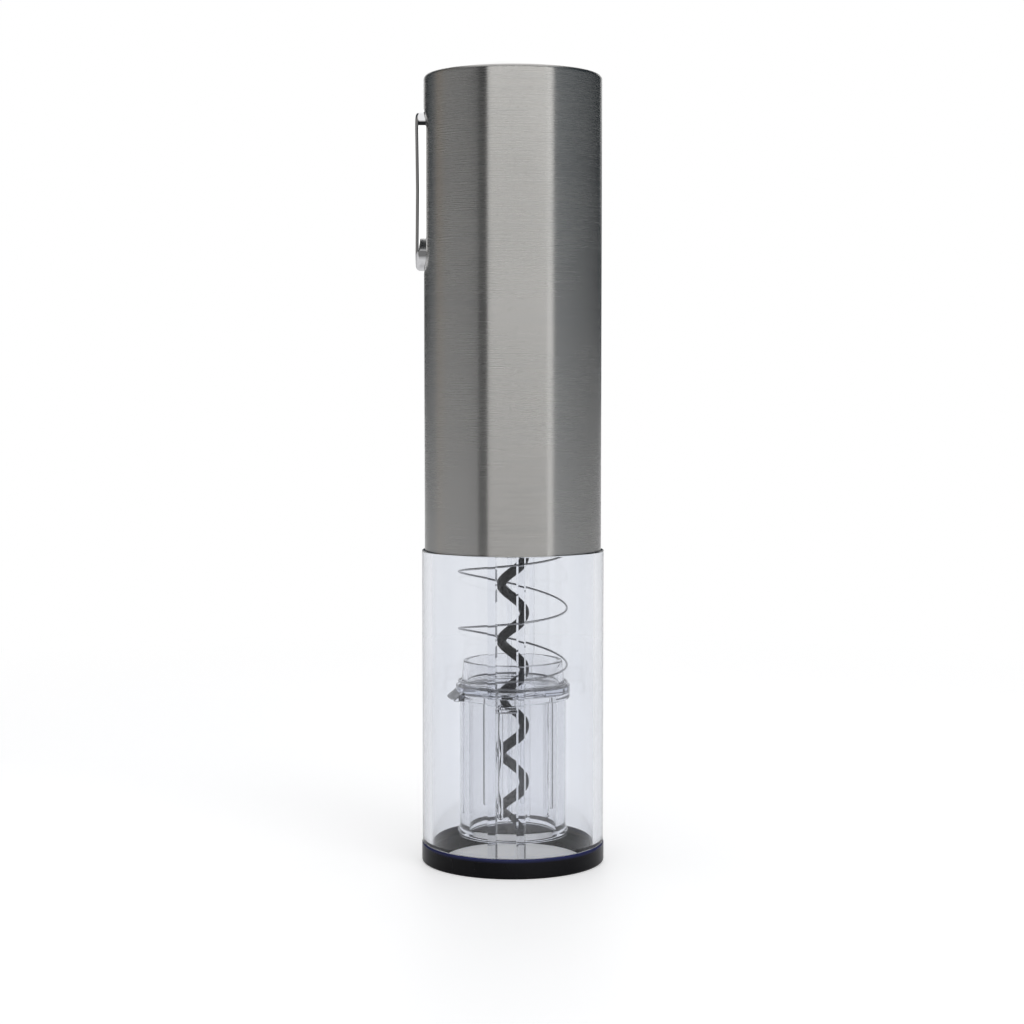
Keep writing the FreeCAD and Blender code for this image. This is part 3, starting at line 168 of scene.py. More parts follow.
# %% Blocks, joining and smoothing
def block(name, size, centre, turn, rounding=0.3 * MM, slope=0.0):
    """A box with rounded edges, turned about Z in degrees; slope lowers its top edge on the -X side."""
    clear_selection()
    bpy.ops.mesh.primitive_cube_add(size=1, location=(0, 0, 0))
    piece = bpy.context.object
    piece.name = piece.data.name = name
    bpy.ops.object.mode_set(mode="EDIT")
    bpy.ops.mesh.select_all(action="SELECT")
    bpy.ops.transform.resize(value=size)
    bpy.ops.transform.translate(value=centre)
    if slope:
        bpy.ops.mesh.select_all(action="DESELECT")
        bpy.ops.object.mode_set(mode="OBJECT")
        for vertex in piece.data.vertices:
            vertex.select = vertex.co.x < centre[0] and vertex.co.z > centre[2]
        bpy.ops.object.mode_set(mode="EDIT")
        bpy.ops.transform.translate(value=(0, 0, -slope))
        bpy.ops.mesh.select_all(action="SELECT")
    bpy.ops.mesh.bevel(offset=rounding, segments=3, affect="EDGES")
    bpy.ops.object.mode_set(mode="OBJECT")
    piece.rotation_euler.z = math.radians(turn)
    bpy.ops.object.transform_apply(location=False, rotation=True, scale=False)
    return piece


def combine(piece, others, operation="UNION"):
    """Joins the others to the piece, or cuts them out of it, and removes them."""
    for other in others:
        clear_selection()
        piece.select_set(True)
        bpy.context.view_layer.objects.active = piece
        tool = piece.modifiers.new("Combine", "BOOLEAN")
        tool.operation = operation
        tool.solver = "EXACT"
        tool.object = other
        bpy.ops.object.modifier_apply(modifier=tool.name)
        bpy.data.objects.remove(other, do_unlink=True)
    return piece


def smooth(piece, angle=32):
    """Shades smooth below the angle, with each corner's normal led by its largest face."""
    clear_selection()
    piece.select_set(True)
    bpy.context.view_layer.objects.active = piece
    bpy.ops.object.shade_smooth_by_angle(angle=math.radians(angle), keep_sharp_edges=False)
    settle = piece.modifiers.new("Settle", "WEIGHTED_NORMAL")
    settle.mode = "FACE_AREA"
    settle.weight = 100
    settle.keep_sharp = True
    bpy.ops.object.modifier_apply(modifier=settle.name)
    clear_selection()
    print(f"{piece.name}: {len(piece.data.polygons)} faces")


# %% [markdown]
# ## The clear housing
# A thick moulded tube stands in the base ring and plugs into the steel sleeve. Inside it,
# two pairs of ribs run from top to bottom: a pair of wide ones at the front and of thin ones
# at the back. The cork guide's lugs slide between them and come to rest on two stop blocks.
# It is one moulding, so the tube, ribs and blocks become one closed shell. The ribs are left
# a little deep, and one round cut then gives them ends that follow the bore.

# %% Lathe the tube and join its ribs
STEPS = 192
FRONT_TURN = -4.7
REAR_TURN = 180 - 7.0
FRONT_RIB, FRONT_CHANNEL = 2.0 * MM, 5.4 * MM
REAR_RIB, REAR_CHANNEL = 1.0 * MM, 5.6 * MM
ROOT = 1.0 * MM
RIB_SHORTER = 1.0 * MM
FRONT_STOP_DEPTH, FRONT_STOP_HEIGHT = 2.2 * MM, 0.9 * MM
REAR_STOP_DEPTH, REAR_STOP_HEIGHT = 3.8 * MM, 3.0 * MM
STOP_OVERLAP = 0.5 * MM
STOP_GAP = 0.3 * MM

housing = lathe("clear_housing_moulding", [
    (HOUSING_BORE, housing_low.z), (FOOT_RADIUS, housing_low.z),
    (FOOT_RADIUS, FOOT_TOP), (HOUSING_RADIUS, FOOT_TOP),
    (HOUSING_RADIUS, HOUSING_SHOULDER), (SPIGOT_RADIUS, HOUSING_SHOULDER),
    (SPIGOT_RADIUS, housing_high.z), (HOUSING_BORE, housing_high.z)], STEPS, rounding=0.25 * MM)


def rib(name, width, offset, turn):
    """A rib on the bore, rooted in the wall, a little shorter than the housing."""
    start, end = RIB_REACH - ROOT, HOUSING_BORE + ROOT
    height = housing_high.z - housing_low.z - RIB_SHORTER
    middle = (housing_high.z + housing_low.z) / 2
    return block(name, (width, end - start, height), (offset, -(start + end) / 2, middle), turn)


def guide_stop(channel, depth, height, turn):
    """A block across a channel, just below the lug that runs in it."""
    start, end = HOUSING_BORE - depth, HOUSING_BORE + ROOT
    return block("stop", (channel + STOP_OVERLAP, end - start, height),
                 (0, -(start + end) / 2, FLANGE_BOTTOM - STOP_GAP - height / 2), turn, 0.2 * MM)


additions = [guide_stop(FRONT_CHANNEL, FRONT_STOP_DEPTH, FRONT_STOP_HEIGHT, FRONT_TURN),
             guide_stop(REAR_CHANNEL, REAR_STOP_DEPTH, REAR_STOP_HEIGHT, REAR_TURN)]
for width, channel, turn in ((FRONT_RIB, FRONT_CHANNEL, FRONT_TURN), (REAR_RIB, REAR_CHANNEL, REAR_TURN)):
    for side in (-1, 1):
        additions.append(rib("rib", width, side * (channel + width) / 2, turn))
combine(housing, additions)
clear_selection()
bpy.ops.mesh.primitive_cylinder_add(
    vertices=STEPS, radius=RIB_REACH, depth=2 * housing_high.z, location=(0, 0, housing_high.z / 2))
combine(housing, [bpy.context.object], "DIFFERENCE")
smooth(housing)

# %% [markdown]
# ## The cork guide
# A thick clear cup slides on the ribs. Its mouth sits over the bottle's neck, its flange
# carries the spring, and a collar above the flange holds the spring's inside. Lugs at the
# front and back run in the housing's channels, and a wide lug at the left steadies it. Six
# fine ribs inside grip the cork. Again it is one moulding.

# %% Lathe the cup and join its lugs and ribs
GUIDE_RADIUS = 14.6 * MM
GUIDE_BORE = 12.1 * MM
MOUTH = guide_low.z
MOUTH_FLARE = 0.6 * MM
MOUTH_BAND, MOUTH_TAPER_END = 1.2 * MM, 2.4 * MM
FLANGE_STEP = 1.1 * MM
COLLAR_RADIUS = 14.2 * MM
COLLAR_WALL = 1.4 * MM
RIM_RADIUS = 13.6 * MM
WEB_HOLE = 6.0 * MM
WEB_TOP, WEB_BOTTOM = 0.75 * MM, 2.25 * MM
LUG_REACH = HOUSING_BORE - 1.7 * MM
LUG_ROOT = 1.0 * MM
LUG_PLAY = 0.6 * MM
SIDE_LUG_WIDTH, SIDE_LUG_STEP, SIDE_LUG_TIP = 9.0 * MM, 3.0 * MM, 0.6 * MM
SIDE_LUG_TURN = 18.0
GRIPS, FIRST_GRIP = 6, 15
GRIP_DEPTH, GRIP_WIDTH = 1.5 * MM, 1.2 * MM
GRIP_ROOT = 0.25 * MM
GRIP_START = 6.0 * MM

guide = lathe("cork_guide_moulding", [
    (GUIDE_BORE, MOUTH), (GUIDE_RADIUS + MOUTH_FLARE, MOUTH),
    (GUIDE_RADIUS + MOUTH_FLARE, MOUTH + MOUTH_BAND), (GUIDE_RADIUS, MOUTH + MOUTH_TAPER_END),
    (GUIDE_RADIUS, FLANGE_BOTTOM), (GUIDE_RADIUS + FLANGE_STEP, FLANGE_BOTTOM),
    (GUIDE_RADIUS + FLANGE_STEP, FLANGE_TOP), (COLLAR_RADIUS, FLANGE_TOP),
    (RIM_RADIUS, guide_high.z), (RIM_RADIUS - COLLAR_WALL, guide_high.z),
    (COLLAR_RADIUS - COLLAR_WALL, FLANGE_TOP), (WEB_HOLE, FLANGE_TOP - WEB_TOP),
    (WEB_HOLE, FLANGE_TOP - WEB_BOTTOM), (GUIDE_BORE, FLANGE_TOP - WEB_BOTTOM)], STEPS, rounding=0.3 * MM)


def lug(name, width, reach, turn, away="front"):
    """A lug from inside the cup's wall outwards, as thick as the flange; the left one slopes to its tip."""
    inner = GUIDE_RADIUS - LUG_ROOT
    length = reach - inner
    height = FLANGE_TOP - FLANGE_BOTTOM
    middle = (FLANGE_TOP + FLANGE_BOTTOM) / 2
    if away == "front":
        return block(name, (width, length, height), (0, -(inner + length / 2), middle), turn)
    return block(name, (length, width, height), (-(inner + length / 2), 0, middle), turn, 0.2 * MM,
                 slope=height - SIDE_LUG_TIP)


additions = [lug("front_lug", FRONT_CHANNEL - LUG_PLAY, LUG_REACH, FRONT_TURN),
             lug("rear_lug", REAR_CHANNEL - LUG_PLAY, LUG_REACH, REAR_TURN),
             lug("side_lug", SIDE_LUG_WIDTH, GUIDE_RADIUS + SIDE_LUG_STEP, SIDE_LUG_TURN, "left")]
grip_foot = MOUTH + GRIP_START
for number in range(GRIPS):
    additions.append(block(
        "grip", (GRIP_DEPTH, GRIP_WIDTH, FLANGE_BOTTOM - grip_foot),
        (GUIDE_BORE - GRIP_ROOT, 0, (FLANGE_BOTTOM + grip_foot) / 2),
        360 / GRIPS * number + FIRST_GRIP, 0.55 * MM))
combine(guide, additions)
smooth(guide)

# %% [markdown]
# ## The spring
# A light compression spring pushes the guide down. Its wire runs nearly flat for most of a
# turn at each end, so that it stands square, and climbs between. A curve with a round bevel
# draws such a wire best: its points follow the turns, and the bevel keeps the wire round.
# The spring is one piece, wound to the height of the CAD spring.

# %% Wind the spring
WIRE = 0.28 * MM
TURNS = 5.4
END_TURNS = 0.8
BLEND = 0.4
LEAN = 0.95 * MM
FIRST_ANGLE = 233.2 - 360 * (END_TURNS + BLEND / 2)
SPRING_RADIUS = (spring_high.x - spring_low.x) / 2 - WIRE


def open_turns(turn):
    """How many turns of the open pitch the wire has climbed at a turn, counted from the bottom."""
    if turn > TURNS / 2:
        return 2 * open_turns(TURNS / 2) - open_turns(TURNS - turn)
    if turn <= END_TURNS:
        return 0.0
    part = min(1.0, (turn - END_TURNS) / BLEND)
    return BLEND * (part ** 3 - part ** 4 / 2) + max(0.0, turn - END_TURNS - BLEND)


def free_share(turn):
    """0 in the end coils and 1 between them, where the free coils lean a little to the right."""
    share = min(1.0, max(0.0, (min(turn, TURNS - turn) - END_TURNS) / BLEND))
    return share * share * (3 - 2 * share)


def wind_spring(points_per_turn=48):
    clear_selection()
    bpy.ops.curve.primitive_nurbs_path_add(location=(0, 0, 0))
    coil = bpy.context.object
    coil.name = "guide_spring"
    line = coil.data.splines[0]
    count = int(TURNS * points_per_turn) + 1
    line.points.add(count - len(line.points))
    bottom = spring_low.z + WIRE
    closed_pitch = 2.1 * WIRE
    rise = spring_high.z - WIRE - bottom - closed_pitch * TURNS
    for number, point in enumerate(line.points):
        turn = TURNS * number / (count - 1)
        angle = math.radians(FIRST_ANGLE) + 2 * math.pi * turn
        height = bottom + closed_pitch * turn + rise * open_turns(turn) / open_turns(TURNS)
        height -= LEAN * free_share(turn) * math.cos(angle)
        point.co = (SPRING_RADIUS * math.cos(angle), SPRING_RADIUS * math.sin(angle), height, 1)
    line.order_u = 3
    line.use_endpoint_u = True
    line.resolution_u = 2
    coil.data.bevel_depth = WIRE
    coil.data.bevel_resolution = 4
    coil.data.use_fill_caps = True
    bpy.ops.object.convert(target="MESH")
    bpy.ops.object.mode_set(mode="EDIT")
    merge_and_face_out(0.001 * MM)
    bpy.ops.object.mode_set(mode="OBJECT")
    coil = bpy.context.object
    coil.data.name = "guide_spring"
    return coil


spring = wind_spring()
smooth(spring, 60)

# %% [markdown]
# ## Riding on the frame
# Each new piece names the body it moves with, the material slot it takes its finish from and the CAD node it
# stands for. The spring's lower end rides up with the guide while its upper end stays on the gearbox, so it
# rides on the handle.

# %% Hand the pieces to the frame
for piece, body, slot, node in ((housing, "handle", "clear_plastic", "clear_housing"),
                                (guide, "guide", "guide_plastic", "cork_guide"),
                                (spring, "handle", "spring_steel", "spring")):
    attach(piece, body)
    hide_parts(node)
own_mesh(spring)

# %% [markdown]
# ## Shared effects
# Real surfaces are never one flat colour. Three small node groups serve most of the finishes
# here: `grain` for the mottle of moulded plastic, cast metal and board, `brushing` for the
# lines of a belt run round a tube or along a plate, and `edge_wear` for edges that handling
# has rubbed. They put out only masks and heights, so each material decides what they do.

# %% Node helpers
def new_group(name, inputs, outputs):
    """A shader node group with named float sockets."""
    group = bpy.data.node_groups.new(name, "ShaderNodeTree")
    for label, default in inputs:
        socket = group.interface.new_socket(name=label, in_out="INPUT", socket_type="NodeSocketFloat")
        socket.default_value = default
    for label in outputs:
        group.interface.new_socket(name=label, in_out="OUTPUT", socket_type="NodeSocketFloat")
    start = group.nodes.new("NodeGroupInput")
    end = group.nodes.new("NodeGroupOutput")
    return group, start, end


def add(tree, kind, **settings):
    """Adds a node; a setting named after a socket is its value, any other is a property."""
    node = tree.nodes.new(kind)
    for label, setting in settings.items():
        if hasattr(node, label):
            setattr(node, label, setting)
        else:
            node.inputs[label.replace("_", " ")].default_value = setting
    return node


def math_node(tree, operation, first, second=None):
    """A Math node; each argument is a socket or a number."""
    node = tree.nodes.new("ShaderNodeMath")
    node.operation = operation
    for socket, value in zip(node.inputs, (first, second)):
        if value is None:
            continue
        if isinstance(value, (int, float)):
            socket.default_value = value
        else:
            tree.links.new(value, socket)
    return node.outputs[0]


def remap(tree, value, low, high, to_low=0.0, to_high=1.0):
    """Maps a value from one range to another, held at the ends."""
    node = tree.nodes.new("ShaderNodeMapRange")
    node.clamp = True
    tree.links.new(value, node.inputs["Value"])
    for label, setting in (("From Min", low), ("From Max", high), ("To Min", to_low), ("To Max", to_high)):
        if isinstance(setting, (int, float)):
            node.inputs[label].default_value = setting
        else:
            tree.links.new(setting, node.inputs[label])
    return node.outputs["Result"]


# %% The grain group
def make_grain():
    group, start, end = new_group(
        "grain", [("Scale", 400.0), ("Patches", 40.0)], ["Fine", "Broad", "Height"])
    place = add(group, "ShaderNodeTexCoord").outputs["Object"]
    fine = add(group, "ShaderNodeTexNoise", Detail=3.0, Roughness=0.6)
    broad = add(group, "ShaderNodeTexNoise", Detail=2.0, Roughness=0.5)
    for texture, label in ((fine, "Scale"), (broad, "Patches")):
        group.links.new(place, texture.inputs["Vector"])
        group.links.new(start.outputs[label], texture.inputs["Scale"])
    group.links.new(remap(group, fine.outputs["Fac"], 0.3, 0.7), end.inputs["Fine"])
    group.links.new(remap(group, broad.outputs["Fac"], 0.35, 0.65), end.inputs["Broad"])
    group.links.new(fine.outputs["Fac"], end.inputs["Height"])
    return group


grain = make_grain()


# %% The brushing group
def make_brushing():
    """Streaks that change quickly along one axis and slowly along the others."""
    group, start, end = new_group(
        "brushing", [("Across X", 60.0), ("Across Y", 60.0), ("Across Z", 6000.0)],
        ["Streaks", "Bands", "Height"])
    place = add(group, "ShaderNodeTexCoord").outputs["Object"]
    spread = add(group, "ShaderNodeCombineXYZ")
    for label, axis in (("Across X", "X"), ("Across Y", "Y"), ("Across Z", "Z")):
        group.links.new(start.outputs[label], spread.inputs[axis])
    stretch = add(group, "ShaderNodeVectorMath", operation="MULTIPLY")
    group.links.new(place, stretch.inputs[0])
    group.links.new(spread.outputs[0], stretch.inputs[1])
    streaks = add(group, "ShaderNodeTexNoise", Scale=1.0, Detail=2.0, Roughness=0.7)
    group.links.new(stretch.outputs[0], streaks.inputs["Vector"])
    coarser = add(group, "ShaderNodeVectorMath", operation="MULTIPLY")
    coarser.inputs[1].default_value = (0.5, 0.5, 0.11)
    group.links.new(stretch.outputs[0], coarser.inputs[0])
    bands = add(group, "ShaderNodeTexNoise", Scale=1.0, Detail=2.0, Roughness=0.5)
    group.links.new(coarser.outputs[0], bands.inputs["Vector"])
    group.links.new(remap(group, streaks.outputs["Fac"], 0.25, 0.75), end.inputs["Streaks"])
    group.links.new(remap(group, bands.outputs["Fac"], 0.3, 0.7), end.inputs["Bands"])
    group.links.new(streaks.outputs["Fac"], end.inputs["Height"])
    return group


brushing = make_brushing()


# %% The edge wear group
def make_edge_wear():
    """Finds edges by comparing the face's normal with one softened over a small radius."""
    group, start, end = new_group("edge_wear", [("Radius", 0.0004), ("Patches", 300.0)], ["Edge"])
    soft = add(group, "ShaderNodeBevel", samples=4)
    group.links.new(start.outputs["Radius"], soft.inputs["Radius"])
    hard = add(group, "ShaderNodeNewGeometry").outputs["Normal"]
    facing = add(group, "ShaderNodeVectorMath", operation="DOT_PRODUCT")
    group.links.new(soft.outputs["Normal"], facing.inputs[0])
    group.links.new(hard, facing.inputs[1])
    edge = remap(group, facing.outputs["Value"], 0.98, 0.8)
    place = add(group, "ShaderNodeTexCoord").outputs["Object"]
    patches = add(group, "ShaderNodeTexNoise", Detail=3.0, Roughness=0.6)
    group.links.new(place, patches.inputs["Vector"])
    group.links.new(start.outputs["Patches"], patches.inputs["Scale"])
    group.links.new(math_node(group, "MULTIPLY", edge, remap(group, patches.outputs["Fac"], 0.4, 0.6)),
                    end.inputs["Edge"])
    return group


edge_wear = make_edge_wear()
print("groups:", [group.name for group in (grain, brushing, edge_wear)])

# %% [markdown]
# ## Finishes
# Every material starts as a Principled shader. Its plain numbers, such as the index of
# refraction or the anisotropy, sit on the shader's own sockets. Only what changes over the
# surface comes through nodes: the colour, the roughness and a small bump.

# %% A material with its shader and effects
def new_material(name, **shader_values):
    material = bpy.data.materials.new(name)
    material.use_nodes = True
    tree = material.node_tree
    shader = tree.nodes["Principled BSDF"]
    for label, setting in shader_values.items():
        shader.inputs[label.replace("_", " ")].default_value = setting
    return material, tree, shader


def use_group(tree, group, **values):
    node = tree.nodes.new("ShaderNodeGroup")
    node.node_tree = group
    for label, setting in values.items():
        node.inputs[label.replace("_", " ")].default_value = setting
    return node.outputs


def mix_colours(tree, share, first, second):
    """Mixes two colours, each a socket or an RGB triple, by a share that is a socket or a number."""
    node = tree.nodes.new("ShaderNodeMix")
    node.data_type = "RGBA"
    for socket, value in ((node.inputs[0], share), (node.inputs[6], first), (node.inputs[7], second)):
        if isinstance(value, (int, float)):
            socket.default_value = value
        elif isinstance(value, tuple):
            socket.default_value = (*value, 1.0)
        else:
            tree.links.new(value, socket)
    return node.outputs[2]


def bump(tree, shader, height, distance, strength):
    node = tree.nodes.new("ShaderNodeBump")
    node.inputs["Strength"].default_value = strength
    node.inputs["Distance"].default_value = distance
    tree.links.new(height, node.inputs["Height"])
    tree.links.new(node.outputs[0], shader.inputs["Normal"])


# %% [markdown]
# ### Brushed steel
# The sleeve is belt-brushed round its axis. Each line is a fine groove, so a light spreads up
# and down the tube but stays sharp from side to side: that is what anisotropy does. The
# default tangent of a piece without a UV map runs round Z, so a quarter turn of rotation puts
# the spread along the tube. Streaks vary the colour and the roughness from line to line.

# %% Brushed steel
def brushed_steel():
    material, tree, shader = new_material(
        "brushed_steel", Metallic=1.0, Anisotropic=0.97, Anisotropic_Rotation=0.25)
    lines = use_group(tree, brushing, Across_X=70.0, Across_Y=70.0, Across_Z=6500.0)
    marks = use_group(tree, grain, Scale=900.0, Patches=28.0)
    dark, light = (0.50, 0.495, 0.485), (0.635, 0.63, 0.615)
    colour = mix_colours(tree, remap(tree, lines["Streaks"], 0.0, 1.0, 0.32, 0.68), dark, light)
    colour = mix_colours(tree, remap(tree, lines["Bands"], 0.0, 1.0, 0.0, 0.35), colour, (0.60, 0.585, 0.56))
    colour = mix_colours(tree, remap(tree, marks["Fine"], 0.75, 1.0, 0.0, 0.22), colour, (0.36, 0.35, 0.34))
    tree.links.new(colour, shader.inputs["Base Color"])
    rough = math_node(tree, "ADD", remap(tree, lines["Streaks"], 0.0, 1.0, 0.22, 0.28),
                      remap(tree, marks["Broad"], 0.0, 1.0, -0.015, 0.03))
    tree.links.new(rough, shader.inputs["Roughness"])
    bump(tree, shader, lines["Height"], 0.0016 * MM, 0.5)
    return material


# %% [markdown]
# ### Other metals
# The cap and the switch are polished, the gear train is plain turned steel, the screws and
# shafts are brighter, and small brass and copper parts sit in the motor. One recipe makes
# them all: two tones mixed by the grain, roughness that wanders, and paler edges.

# %% A family of metals
def metal(name, colour, roughness, variation=0.12, scale=700.0, height=0.002, edge=0.4, turned=False):
    material, tree, shader = new_material(name, Metallic=1.0)
    marks = use_group(tree, grain, Scale=scale, Patches=scale / 9)
    darker = tuple(channel * (1 - variation) for channel in colour)
    paler = tuple(min(1.0, channel * (1 + variation)) for channel in colour)
    tone = mix_colours(tree, marks["Broad"], darker, paler)
    tone = mix_colours(tree, remap(tree, marks["Fine"], 0.6, 1.0, 0.0, variation), tone, darker)
    worn = use_group(tree, edge_wear, Radius=0.0003, Patches=scale / 2)["Edge"]
    tone = mix_colours(tree, math_node(tree, "MULTIPLY", worn, edge), tone, paler)
    tree.links.new(tone, shader.inputs["Base Color"])
    rough = remap(tree, marks["Fine"], 0.0, 1.0, roughness * 0.85, roughness * 1.2)
    tree.links.new(rough, shader.inputs["Roughness"])
    relief = marks["Height"]
    if turned:
        relief = use_group(tree, brushing, Across_X=80.0, Across_Y=80.0, Across_Z=7000.0)["Height"]
    bump(tree, shader, relief, height * MM, 0.6)
    return material


# %% [markdown]
# ### Moulded plastics
# Opaque plastic has a fine spark-eroded texture from its mould, slightly uneven gloss, and
# edges that go pale where they are handled. Rubber, resin, fibre and paint follow the same
# recipe with other values.

# %% A family of plastics
# how far below a top edge a painted rim highlight reaches
RIM_HIGHLIGHT_DEPTH = 1.1 * MM


def plastic(name, colour, roughness, variation=0.1, scale=1500.0, height=0.01, edge=0.25, ior=1.49,
            edge_colour=None, rim_highlight=None):
    """A moulded finish; a rim, given as a height and a colour, is a painted highlight in that colour on a
    band just below the height.
    """
    material, tree, shader = new_material(name, IOR=ior)
    marks = use_group(tree, grain, Scale=scale, Patches=scale / 25)
    darker = tuple(channel * (1 - variation) for channel in colour)
    paler = tuple(min(1.0, channel * (1 + variation) + 0.004) for channel in colour)
    tone = mix_colours(tree, marks["Broad"], darker, paler)
    worn = use_group(tree, edge_wear, Radius=0.0003, Patches=scale / 4)["Edge"]
    edge_colour = edge_colour or tuple(min(1.0, channel * 1.6 + 0.02) for channel in colour)
    tone = mix_colours(tree, math_node(tree, "MULTIPLY", worn, edge), tone, edge_colour)
    # painted highlight: the tone turns to the given bluish colour in a band just below the top edge, where
    # the edge would catch light
    if rim_highlight:
        top, rim_highlight_colour = rim_highlight
        parts = add(tree, "ShaderNodeSeparateXYZ")
        tree.links.new(add(tree, "ShaderNodeTexCoord").outputs["Object"], parts.inputs[0])
        share = remap(tree, parts.outputs["Z"], top - RIM_HIGHLIGHT_DEPTH, top)
        tone = mix_colours(tree, share, tone, rim_highlight_colour)
    tree.links.new(tone, shader.inputs["Base Color"])
    rough = math_node(tree, "ADD", remap(tree, marks["Fine"], 0.0, 1.0, roughness * 0.9, roughness * 1.12),
                      remap(tree, marks["Broad"], 0.0, 1.0, -0.02, 0.02))
    tree.links.new(rough, shader.inputs["Roughness"])
    bump(tree, shader, marks["Height"], height * MM, 0.5)
    return material


# %% [markdown]
# ### Clear plastic
# The housing and the cork guide are clear styrene-like mouldings. A transmission weight of
# one makes glass of them, the index of refraction bends what lies behind, and a base colour
# a little below white takes a share of the light at each wall. Inside the plastic a faint
# absorption takes a little more, red first, so that long ways through it look bluish. Fine
# flow marks and a few specks break the polish.

# %% Clear mouldings
def clear_plastic(name, tint, deeper, roughness, flow=0.004):
    material, tree, shader = new_material(name, Transmission_Weight=1.0, IOR=1.5, Metallic=0.0)
    marks = use_group(tree, grain, Scale=1800.0, Patches=60.0)
    colour = mix_colours(tree, marks["Broad"], tint, deeper)
    specks = remap(tree, marks["Fine"], 0.93, 1.0, 0.0, 0.5)
    colour = mix_colours(tree, specks, colour, tuple(channel * 0.86 for channel in deeper))
    tree.links.new(colour, shader.inputs["Base Color"])
    rough = remap(tree, marks["Fine"], 0.85, 1.0, roughness, roughness + 0.08)
    tree.links.new(rough, shader.inputs["Roughness"])
    streams = use_group(tree, brushing, Across_X=130.0, Across_Y=130.0, Across_Z=20.0)
    bump(tree, shader, streams["Height"], flow * MM, 0.4)
    depth = add(tree, "ShaderNodeVolumeAbsorption", Color=(0.4, 0.45, 0.6, 1.0), Density=20.0)
    tree.links.new(depth.outputs[0], tree.nodes["Material Output"].inputs["Volume"])
    return material


# %% [markdown]
# ### The battery cells and the circuit board
# Each cell wears a printed shrink sleeve, here a plain one with a paler band near its end,
# and the board shows the faint pattern of copper under its green lacquer. Both are inside
# the handle, but a stranger may take the sleeve off.

# %% Cell wrap and board lacquer
def cell_wrap():
    material, tree, shader = new_material("cell_wrap", Coat_Weight=0.4, Coat_Roughness=0.1)
    cell_low, cell_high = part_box("battery_cell_1")
    place = add(tree, "ShaderNodeTexCoord").outputs["Object"]
    parts = add(tree, "ShaderNodeSeparateXYZ")
    tree.links.new(place, parts.inputs[0])
    height = parts.outputs["Z"]
    band = math_node(tree, "GREATER_THAN", height, cell_high.z - 7 * MM)
    tip = math_node(tree, "GREATER_THAN", height, cell_high.z - 1.1 * MM)
    marks = use_group(tree, grain, Scale=900.0, Patches=60.0)
    body = mix_colours(tree, marks["Broad"], (0.035, 0.12, 0.05), (0.05, 0.16, 0.07))
    colour = mix_colours(tree, band, body, (0.55, 0.55, 0.52))
    colour = mix_colours(tree, tip, colour, (0.62, 0.61, 0.58))
    tree.links.new(colour, shader.inputs["Base Color"])
    tree.links.new(tip, shader.inputs["Metallic"])
    tree.links.new(remap(tree, marks["Fine"], 0.0, 1.0, 0.28, 0.42), shader.inputs["Roughness"])
    bump(tree, shader, marks["Height"], 0.004 * MM, 0.5)
    return material


def board_lacquer():
    material, tree, shader = new_material("board_resin", Coat_Weight=0.5, Coat_Roughness=0.15)
    place = add(tree, "ShaderNodeTexCoord").outputs["Object"]
    tracks = add(tree, "ShaderNodeTexBrick", offset=0.35, Scale=260.0, Mortar_Size=0.09, Mortar_Smooth=0.1)
    turn = add(tree, "ShaderNodeMapping")
    turn.inputs["Rotation"].default_value = (0, math.radians(90), 0)
    tree.links.new(place, turn.inputs["Vector"])
    tree.links.new(turn.outputs[0], tracks.inputs["Vector"])
    tracks.inputs["Color1"].default_value = (0.02, 0.11, 0.05, 1)
    tracks.inputs["Color2"].default_value = (0.025, 0.13, 0.06, 1)
    tracks.inputs["Mortar"].default_value = (0.05, 0.2, 0.1, 1)
    marks = use_group(tree, grain, Scale=1400.0, Patches=80.0)
    colour = mix_colours(tree, remap(tree, marks["Fine"], 0.0, 1.0, 0.0, 0.25), tracks.outputs["Color"],
                         (0.03, 0.09, 0.05))
    tree.links.new(colour, shader.inputs["Base Color"])
    tree.links.new(remap(tree, marks["Broad"], 0.0, 1.0, 0.3, 0.42), shader.inputs["Roughness"])
    bump(tree, shader, tracks.outputs["Fac"], 0.02 * MM, 0.4)
    return material


# %% [markdown]
# ## One finish for every slot
# The record names a material slot for each node. The table below makes one finish per slot
# and hands it to every object that uses the slot, the CAD nodes and the new pieces alike.

